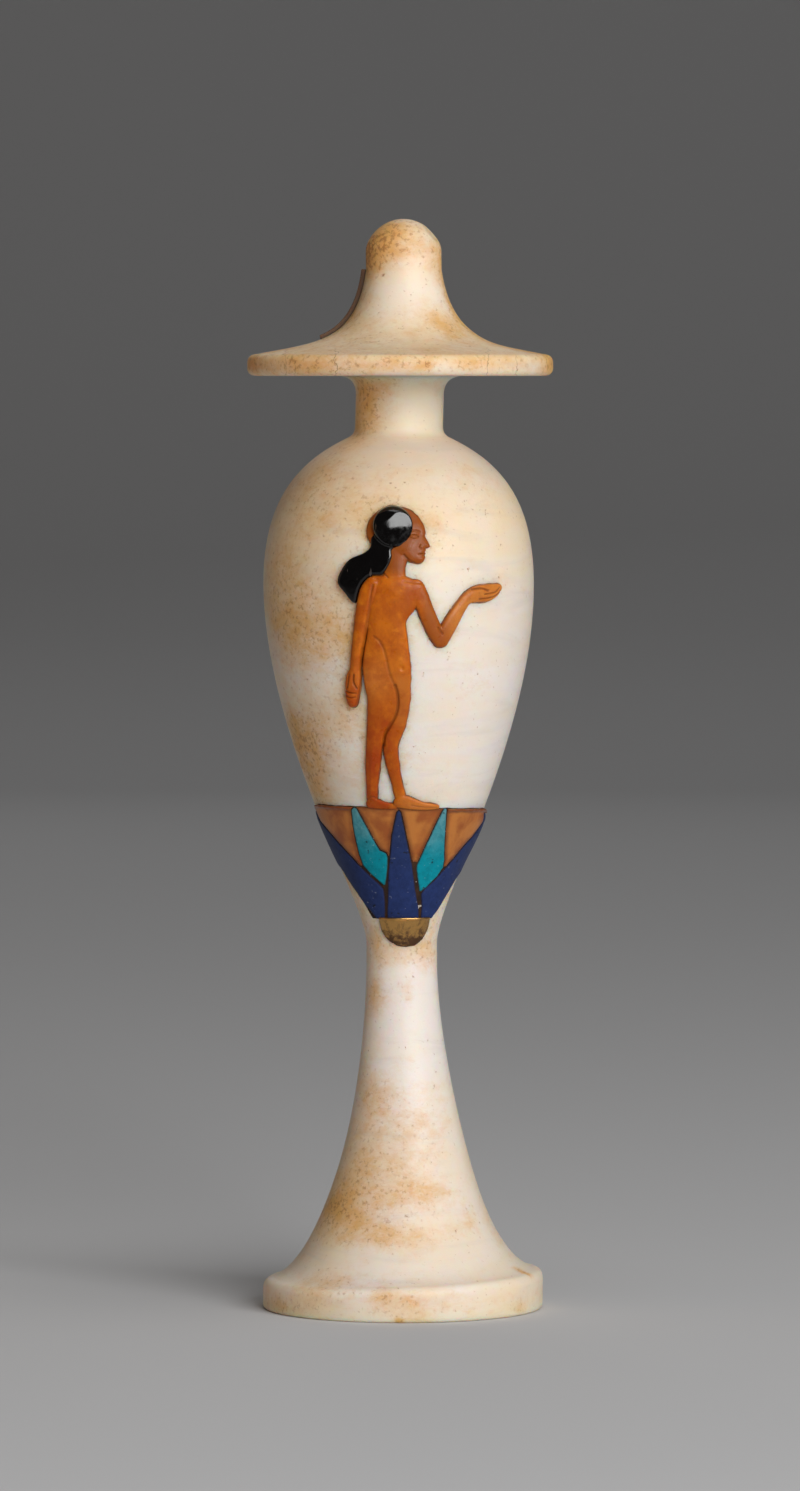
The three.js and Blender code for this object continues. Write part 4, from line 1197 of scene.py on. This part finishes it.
def petal_carnelian():
    """Milky amber stone, browner along its edges."""
    tint = bpy.context.scene.jar_colours
    material, tree, shader, place = new_material(
        "petal_carnelian",
        **{
            "IOR": 1.54,
            "Specular IOR Level": 0.3,
            "Roughness": 0.3,
            "Subsurface Weight": 0.35,
            "Subsurface Radius": (1.0, 0.4, 0.15),
            "Subsurface Scale": 0.6 * MM,
        },
    )
    clouds = noise(tree, place, 0.42, 5.0, 0.55, 0.4)
    stone = mixed(tree, between(tree, clouds, 0.36, 0.64), tint.field_milky, tint.field_brown)
    rim = between(tree, stored(tree, "edge"), 0.85, 0.0, 0.0, 0.75)
    rim = maths(tree, "MULTIPLY", rim, between(tree, noise(tree, place, 0.8, 4.0, 0.6), 0.25, 0.6, 0.5, 1.0))
    stone = mixed(tree, rim, stone, tint.field_edge)
    ridge = maths(tree, "MULTIPLY", stored(tree, "ridge"), between(tree, clouds, 0.3, 0.6, 0.95, 0.7))
    stone = mixed(tree, ridge, stone, tint.field_ridge)
    tree.links.new(stone, shader.inputs["Base Color"])
    bumped(tree, shader, noise(tree, place, 1.4, 5.0, 0.6), 0.035)
    return material


def hair_obsidian():
    """Polished black stone with a few hairline scratches."""
    tint = bpy.context.scene.jar_colours
    material, tree, shader, place = new_material("hair_obsidian", **{"IOR": 1.5})
    scratch = between(tree, noise(tree, place, (2.5, 0.4, 0.5), 2.0, 0.5, 1.4), 0.7, 0.74, 0.0, 0.25)
    tree.links.new(mixed(tree, scratch, tint.obsidian, tint.scratch), shader.inputs["Base Color"])
    rough = between(tree, noise(tree, place, 1.6, 5.0, 0.65), 0.35, 0.75, 0.06, 0.2)
    tree.links.new(rough, shader.inputs["Roughness"])
    bumped(tree, shader, noise(tree, place, 0.8, 3.0, 0.5), 0.01)
    return material


def petal_glass(name, tone, tip, tip_heights, fleck_tone):
    """Dull opaque glass with pits and pale flecks, which changes to the tip's tone between two heights."""
    tint = bpy.context.scene.jar_colours
    material, tree, shader, place = new_material(name, **{"Specular IOR Level": 0.15, "Roughness": 0.5})
    height = add(tree, "ShaderNodeSeparateXYZ", {"Vector": place}).outputs["Z"]
    height = wandering(tree, place, height, 0.5, 0.5, 6.0)
    low, high = tip_heights
    glass = mixed(tree, between(tree, height, low * MM, high * MM, 0.0, 0.85), tone, tip)
    clouds = between(tree, noise(tree, place, 1.3, 7.0, 0.75), 0.36, 0.68, 0.0, 0.6)
    glass = mixed(tree, clouds, glass, tuple(0.55 * part for part in tone))
    pits = between(tree, noise(tree, place, 1.7, 2.0, 0.5), 0.685, 0.73, 0.0, 0.75)
    glass = mixed(tree, pits, glass, tint.glass_pit)
    flecks = between(tree, noise(tree, place, 2.8, 3.0, 0.6), 0.66, 0.72, 0.0, 0.5)
    glass = mixed(tree, flecks, glass, fleck_tone)
    rim = between(tree, stored(tree, "edge"), 0.22, 0.0, 0.0, 0.5)
    glass = mixed(tree, rim, glass, tint.cement)
    tree.links.new(glass, shader.inputs["Base Color"])
    relief = maths(tree, "SUBTRACT", noise(tree, place, 2.0, 5.0, 0.65), pits)
    bumped(tree, shader, relief, 0.03)
    return material


def worn_gold():
    """Rubbed gold with brown dirt in its hollows."""
    tint = bpy.context.scene.jar_colours
    material, tree, shader, place = new_material("worn_gold", **{"Metallic": 1.0})
    height = add(tree, "ShaderNodeSeparateXYZ", {"Vector": place}).outputs["Z"]
    low = between(tree, height, 38.4 * MM, 36.0 * MM, -0.06, 0.21)
    cloudy = maths(tree, "ADD", noise(tree, place, 0.9, 7.0, 0.72, 0.4), low)
    dirt = between(tree, cloudy, 0.42, 0.64)
    rim = between(tree, stored(tree, "edge"), 0.4, 0.0, 0.0, 0.85)
    rim = maths(tree, "MULTIPLY", rim, between(tree, height, 39.0 * MM, 38.6 * MM))
    dirt = maths(tree, "MAXIMUM", dirt, rim)
    tree.links.new(mixed(tree, dirt, tint.gold, tint.gold_dirt), shader.inputs["Base Color"])
    tree.links.new(between(tree, dirt, 0.0, 1.0, 1.0, 0.45), shader.inputs["Metallic"])
    tree.links.new(between(tree, dirt, 0.0, 1.0, 0.3, 0.6), shader.inputs["Roughness"])
    bumped(tree, shader, noise(tree, place, 1.8, 6.0, 0.65), 0.07)
    return material


def cement(name, dark, light):
    """Dark cement with lighter patches and a few white flecks."""
    material, tree, shader, place = new_material(name, **{"Roughness": 0.7, "Specular IOR Level": 0.25})
    patches = between(tree, noise(tree, place, 0.7, 5.0, 0.65), 0.4, 0.68)
    paste = mixed(tree, patches, dark, light)
    flecks = between(tree, noise(tree, place, 1.5, 3.0, 0.6), 0.66, 0.7, 0.0, 0.9)
    paste = mixed(tree, flecks, paste, bpy.context.scene.jar_colours.cement_fleck)
    tree.links.new(paste, shader.inputs["Base Color"])
    bumped(tree, shader, noise(tree, place, 3.0, 5.0, 0.65), 0.05)
    return material


def ground_paper():
    """Plain pale matt paper."""
    tone = (*bpy.context.scene.jar_colours.ground, 1.0)
    values = {"Base Color": tone, "Roughness": 0.95, "Specular IOR Level": 0.2}
    return new_material("ground_paper", **values)[0]


# Pieces and the operators that make them

# How far above and below the figure its stain in the stone reaches.
HALO_REACH = 1.5


def inlay_halo(shape, places):
    """A faint stain in the stone round the figure."""
    figure = FigureShape(shape)
    x, y, z = places.T
    outer = np.hypot(x, y) > shape.radius_at(z) - 0.3
    near = outer & (y < 0) & (z > figure.soles - HALO_REACH)
    near &= z < figure.soles + shape.figure_height + HALO_REACH
    flat = np.column_stack([shape.radius_at(z[near]) * np.arctan2(x[near], -y[near]), z[near]])
    depth = np.maximum(figure.whole_depth(flat), figure.hair_depth(flat))
    halo = np.zeros(len(places))
    halo[near] = 0.5 * np.exp(-((np.maximum(-depth, 0) / 0.75) ** 1.2)) * (depth > -6)
    return halo


# The repaired shard: its ends in degrees anticlockwise from +X, its lowest height above the lid's disc,
# its thickness and the rounding of its edges.
SHARD_START = 140
SHARD_END = 184
SHARD_LOW = 1.5
SHARD_THICKNESS = 0.6
SHARD_ROUNDING = 0.1


def place_round(x, y):
    """Degrees round the jar, from 0 to 360, anticlockwise from +X."""
    return np.degrees(np.arctan2(y, x)) % 360


def raise_shard(piece, shape):
    """Lays a repaired shard over the back left of the lid's cone, so that it stands proud."""
    deselect_faces()
    for face in piece.data.polygons:
        x, y, z = face.center / MM
        around = float(place_round(x, y))
        high = shape.disc_top + SHARD_LOW < z < shape.knob_height + 0.05
        face.select = high and SHARD_START < around < SHARD_END
    bpy.ops.object.mode_set(mode="EDIT")
    bpy.ops.mesh.duplicate()
    bpy.ops.mesh.separate(type="SELECTED")
    bpy.ops.object.mode_set(mode="OBJECT")
    shard = next(part for part in bpy.context.selected_objects if part is not piece)
    bpy.ops.object.select_all(action="DESELECT")
    shard.select_set(True)
    bpy.context.view_layer.objects.active = shard
    plate = shard.modifiers.new("plate", "SOLIDIFY")
    plate.thickness = SHARD_THICKNESS * MM
    plate.offset = 0.5
    bpy.ops.object.modifier_apply(modifier=plate.name)
    corner = shard.modifiers.new("corner", "BEVEL")
    corner.width = SHARD_ROUNDING * MM
    corner.segments = 2
    bpy.ops.object.modifier_apply(modifier=corner.name)
    piece.select_set(True)
    bpy.context.view_layer.objects.active = piece
    bpy.ops.object.join()


def on_shard(shape, places):
    """Which places lie on the shard, whose sides stand out a little past its faces' middles."""
    x, y, z = places.T
    around = place_round(x, y)
    high = (z > shape.disc_top + SHARD_LOW - 0.3) & (z < shape.knob_height + 0.1)
    return high & (around > SHARD_START - 1) & (around < SHARD_END + 0.5)


# The knob's worn facet: the way it faces, a place on it, and the height above which stone is worn away.
FACET_WAY = np.array([0.74, -0.16, 0.65])
FACET_PLACE = np.array([2.45, 0.0, 106.95])
FACET_LOW = 104


def worn_knob(places):
    """The same places with the knob's facet worn flat."""
    past = np.maximum((places - FACET_PLACE) @ FACET_WAY, 0)
    return places - np.where(places[:, 2] > FACET_LOW, past, 0)[:, None] * FACET_WAY


class PERFUME_OT_vase(bpy.types.Operator):
    """Turn the hollow vase from its outline"""

    bl_idname = "perfume.vase"
    bl_label = "Vase"

    def execute(self, context):
        shape = JarShape()
        line = np.concatenate([[[0.0, 0.0], [7.0, 0.0]], shape.outside(), shape.inside()])
        piece = turned_piece("stone_vase", line)
        places = places_of(piece)
        # The last pair is painted shade: more stain on the vase's shaded left side.
        paint_stone(piece, places, VASE_STAINS, inlay_halo(shape, places), (0.12, 0.0))
        put_places(piece, shape.hand_cut(places))
        finish_piece(piece, travertine("vase_travertine"), ["vase"], STONE_ANGLE)
        return {"FINISHED"}


class PERFUME_OT_lid(bpy.types.Operator):
    """Turn the lid with its plug, disc, cone and knob"""

    bl_idname = "perfume.lid"
    bl_label = "Lid"

    def execute(self, context):
        shape = JarShape()
        piece = turned_piece("stone_lid", shape.lid())
        raise_shard(piece, shape)
        places = places_of(piece)
        # Painted shade: the shard's extra stain darkens its shaded face, and the last pair paints shade on
        # the left side and along the right edge.
        paint_stone(piece, places, LID_STAINS, 3.0 * on_shard(shape, places), (0.1, 0.35))
        put_places(piece, shape.hand_cut(worn_knob(places)))
        finish_piece(piece, travertine("lid_travertine", LID_CRACKS), ["lid"], STONE_ANGLE)
        return {"FINISHED"}


class PERFUME_OT_figure(bpy.types.Operator):
    """Cut the carnelian figure and set it into the front"""

    bl_idname = "perfume.figure"
    bl_label = "Figure"

    def execute(self, context):
        shape = JarShape()
        figure = FigureShape(shape)
        low, high = (-5.9, figure.soles - 0.7), (11.6, figure.soles + 29.8)
        carving = {"depth_of": figure.whole_depth, "height_of": figure.height, "tones_of": figure.tones}
        piece = flat_piece("carnelian_figure", shape, low, high, cell=FIGURE_CELL, sink=0.45, **carving)
        finish_piece(piece, figure_carnelian(), ["figure"], INLAY_ANGLE)
        return {"FINISHED"}


class PERFUME_OT_hair(bpy.types.Operator):
    """Cut the obsidian hair with its side lock"""

    bl_idname = "perfume.hair"
    bl_label = "Hair"

    def execute(self, context):
        shape = JarShape()
        figure = FigureShape(shape)
        low, high = (-6.4, figure.soles + 19.6), (1.7, figure.soles + 30.2)
        carving = {"depth_of": figure.hair_depth, "height_of": figure.hair_height}
        piece = flat_piece("obsidian_hair", shape, low, high, cell=FIGURE_CELL, sink=0.3, **carving)
        finish_piece(piece, hair_obsidian(), ["hair"], INLAY_ANGLE)
        return {"FINISHED"}


def set_glass(lotus, name, glass):
    """Cuts one sepal or petal of glass and sets it into the lotus."""
    corners = lotus.corners(GLASS[name])
    low, high = corners.min(0) - MARGIN, corners.max(0) + MARGIN
    carving = {
        "depth_of": partial(lotus.glass_depth, name=name),
        "height_of": partial(lotus.glass_height, name=name),
    }
    piece = flat_piece("glass_" + name, lotus.shape, low, high, cell=LOTUS_CELL, sink=0.35, **carving)
    finish_piece(piece, glass, [name], INLAY_ANGLE)


def set_field(lotus, name, stone):
    """Cuts one carnelian field and sets it into the lotus."""
    left, right, lowest = FIELDS[name]
    rows = [[-1.06, 1.0], [1.06, 1.0], [0.0, lowest]]
    if left:
        rows[0][0] = min(end[0] for end in left)
    if right:
        rows[1][0] = max(end[0] for end in right)
    corners = lotus.flat(rows)
    low = (corners[:2, 0].min() - MARGIN, corners[2, 1] - MARGIN)
    high = (corners[:2, 0].max() + MARGIN, lotus.shape.lotus_height + MARGIN)
    carving = {
        "depth_of": partial(lotus.field_depth, name=name),
        "height_of": partial(lotus.field_height, name=name),
        "tones_of": partial(lotus.field_tones, name=name),
    }
    piece = flat_piece("stone_" + name, lotus.shape, low, high, cell=LOTUS_CELL, sink=0.35, **carving)
    finish_piece(piece, stone, [name], INLAY_ANGLE)


class PERFUME_OT_lotus(bpy.types.Operator):
    """Cut the lotus's glass sepals and petals and its carnelian fields"""

    bl_idname = "perfume.lotus"
    bl_label = "Lotus"

    def execute(self, context):
        tint = context.scene.jar_colours
        lotus = LotusShape(JarShape())
        blue = petal_glass("sepal_blue_glass", tint.blue, tint.blue_tip, (42, 50), tint.blue_fleck)
        turquoise = petal_glass(
            "petal_turquoise_glass", tint.turquoise, tint.turquoise_tip, (44.5, 51), tint.turquoise_fleck
        )
        for name in GLASS:
            if name.startswith("blue"):
                set_glass(lotus, name, blue)
            else:
                set_glass(lotus, name, turquoise)
        stone = petal_carnelian()
        for name in FIELDS:
            set_field(lotus, name, stone)
        return {"FINISHED"}


class PERFUME_OT_calyx(bpy.types.Operator):
    """Model the gold cup under the lotus"""

    bl_idname = "perfume.calyx"
    bl_label = "Calyx"

    def execute(self, context):
        shape = JarShape()
        lotus = LotusShape(shape)
        corners = lotus.corners(CALYX)
        low, high = corners.min(0) - MARGIN, corners.max(0) + MARGIN
        carving = {"depth_of": lotus.calyx_depth, "height_of": lotus.calyx_height}
        piece = flat_piece("gold_calyx", shape, low, high, cell=CALYX_CELL, sink=0.4, **carving)
        finish_piece(piece, worn_gold(), ["calyx"], INLAY_ANGLE)
        return {"FINISHED"}


class PERFUME_OT_bedding(bpy.types.Operator):
    """Lay the dark cement that shows round and between the inlays"""

    bl_idname = "perfume.bedding"
    bl_label = "Bedding"

    def execute(self, context):
        shape = JarShape()
        figure = FigureShape(shape)
        lotus = LotusShape(shape)

        def figure_depth(places):
            grown = 0.045 + 0.05 * unevenness(0.8 * places)
            return np.maximum(figure.whole_depth(places), figure.hair_depth(places)) + grown

        def lotus_depth(places):
            grown = 0.07 + 0.04 * unevenness(0.8 * places)
            return np.maximum(lotus.whole_depth(places), lotus.calyx_depth(places)) + grown

        def figure_height(places):
            return np.clip(0.25 * figure_depth(places), -0.02, 0.03)

        def lotus_height(places):
            return np.clip(0.25 * lotus_depth(places), -0.02, 0.04) + lotus.side_lift(places)

        tint = context.scene.jar_colours
        bed = {"cell": CEMENT_CELL, "sink": 0.2}
        low, high = (-6.6, figure.soles - 0.8), (11.9, figure.soles + 30.4)
        piece = flat_piece("figure_bedding", shape, low, high, figure_depth, figure_height, **bed)
        paste = cement("figure_cement", tint.cement_light, tint.cement_honey)
        finish_piece(piece, paste, [], INLAY_ANGLE)
        low, high = (-15.2, lotus.foot - 3.4), (15.2, shape.lotus_height + 0.3)
        piece = flat_piece("lotus_bedding", shape, low, high, lotus_depth, lotus_height, **bed)
        paste = cement("lotus_cement", tint.cement, tint.cement_brown)
        finish_piece(piece, paste, [], INLAY_ANGLE)
        return {"FINISHED"}


# The stage, in metres. The floor is a square round its middle on Y, and its far edge curves up in steps.
GROUND_SIZE = 6.0
GROUND_MIDDLE = -2.0
SWEEP_STEP = 0.18
WALL_HEIGHT = 3.0
WHITE = (1.0, 1.0, 1.0)
JAR_MIDDLE = (0, 0, 0.06)
# The camera's distance and height, the height it looks at, and its lens in millimetres.
CAMERA_DISTANCE = 0.79
CAMERA_HEIGHT = 0.092
CAMERA_AIM = 0.0559
CAMERA_LENS = 359.0


def lay_ground():
    """Lays a floor that curves up into a wall far behind the jar."""
    place = (0, GROUND_MIDDLE, 0)
    ground = start_piece("ground", bpy.ops.mesh.primitive_plane_add, size=GROUND_SIZE, location=place)
    bpy.ops.object.transform_apply(location=True, rotation=True, scale=True)
    bpy.ops.object.mode_set(mode="EDIT")
    bpy.ops.mesh.select_all(action="DESELECT")
    bpy.ops.object.mode_set(mode="OBJECT")
    for edge in ground.data.edges:
        edge.select = all(ground.data.vertices[i].co.y > 0 for i in edge.vertices)
    bpy.ops.object.mode_set(mode="EDIT")
    bpy.ops.mesh.select_mode(type="EDGE")
    for degrees in range(10, 91, 10):
        angle = math.radians(degrees)
        way = (0, SWEEP_STEP * math.cos(angle), SWEEP_STEP * math.sin(angle))
        bpy.ops.mesh.extrude_region_move(TRANSFORM_OT_translate={"value": way})
    bpy.ops.mesh.extrude_region_move(TRANSFORM_OT_translate={"value": (0, 0, WALL_HEIGHT)})
    bpy.ops.object.mode_set(mode="OBJECT")
    bpy.ops.object.shade_smooth()
    ground.data.materials.append(ground_paper())


def add_lamp(name, place, size, power, aim=JAR_MIDDLE, tone=WHITE, mirrored=True):
    """A soft rectangular light that points at the aim, and that polished stone mirrors or doesn't."""
    data = bpy.data.lights.new(name, "AREA")
    data.shape = "RECTANGLE"
    data.size, data.size_y = size
    data.energy = power
    data.color = tone
    light = bpy.data.objects.new(name, data)
    bpy.context.collection.objects.link(light)
    light.visible_camera = False
    light.visible_glossy = mirrored
    light.location = place
    x, y, z = np.array(aim) - np.array(place)
    light.rotation_euler = (math.atan2(math.hypot(x, y), -z), 0, math.atan2(y, x) - math.pi / 2)


def place_camera():
    """A camera far in front of the jar with a long lens, which looks slightly down."""
    data = bpy.data.cameras.new("camera")
    data.sensor_fit = "HORIZONTAL"
    data.sensor_width = 36.0
    data.lens = CAMERA_LENS
    camera = bpy.data.objects.new("camera", data)
    bpy.context.collection.objects.link(camera)
    camera.location = (0, -CAMERA_DISTANCE, CAMERA_HEIGHT)
    down = math.atan2(CAMERA_HEIGHT - CAMERA_AIM, CAMERA_DISTANCE)
    camera.rotation_euler = (math.pi / 2 - down, 0, 0)
    bpy.context.scene.camera = camera


class PERFUME_OT_stage(bpy.types.Operator):
    """Set the ground, the lights and the camera"""

    bl_idname = "perfume.stage"
    bl_label = "Stage"

    def execute(self, context):
        lay_ground()
        world = bpy.data.worlds.new("studio")
        world.use_nodes = True
        background = world.node_tree.nodes["Background"]
        background.inputs["Color"].default_value = (0.365, 0.36, 0.355, 1.0)
        background.inputs["Strength"].default_value = 0.15
        context.scene.world = world
        add_lamp("key", (0.4, -0.76, 0.34), (0.62, 0.36), 6.1)
        add_lamp("fill", (-1.1, -0.3, 0.25), (0.7, 0.7), 0.75, tone=(1.0, 0.66, 0.42))
        add_lamp("top", (0.12, -0.2, 0.8), (0.45, 0.45), 1.3)
        add_lamp("low", (0.22, -0.9, 0.07), (0.3, 0.12), 1.1, aim=(0, 0, 0.08), mirrored=False)
        add_lamp("rear", (-0.15, 0.95, 0.55), (0.6, 0.5), 0.5)
        place_camera()
        context.scene.view_settings.view_transform = "Standard"
        return {"FINISHED"}


class PERFUME_PT_panel(bpy.types.Panel):
    """Lists the jar's sizes, colours and pieces"""

    bl_idname = "PERFUME_PT_panel"
    bl_label = "Perfume Jar"
    bl_space_type = "VIEW_3D"
    bl_region_type = "UI"
    bl_category = "Perfume Jar"

    def draw(self, context):
        layout = self.layout
        for group in (context.scene.jar_sizes, context.scene.jar_colours):
            box = layout.box()
            for name in type(group).__annotations__:
                box.prop(group, name)
        for operator in PIECES:
            layout.operator(operator.bl_idname)


PIECES = (
    PERFUME_OT_vase,
    PERFUME_OT_lid,
    PERFUME_OT_figure,
    PERFUME_OT_hair,
    PERFUME_OT_lotus,
    PERFUME_OT_calyx,
    PERFUME_OT_bedding,
    PERFUME_OT_stage,
)
CLASSES = (JarSizes, JarColours, *PIECES, PERFUME_PT_panel)


def register():
    for item in CLASSES:
        bpy.utils.register_class(item)
    bpy.types.Scene.jar_sizes = bpy.props.PointerProperty(type=JarSizes)
    bpy.types.Scene.jar_colours = bpy.props.PointerProperty(type=JarColours)


def unregister():
    del bpy.types.Scene.jar_colours
    del bpy.types.Scene.jar_sizes
    for item in reversed(CLASSES):
        bpy.utils.unregister_class(item)


def main():
    register()
    bpy.ops.perfume.vase()
    bpy.ops.perfume.lid()
    bpy.ops.perfume.figure()
    bpy.ops.perfume.hair()
    bpy.ops.perfume.lotus()
    bpy.ops.perfume.calyx()
    bpy.ops.perfume.bedding()
    bpy.ops.perfume.stage()


if __name__ == "__main__":
    main()
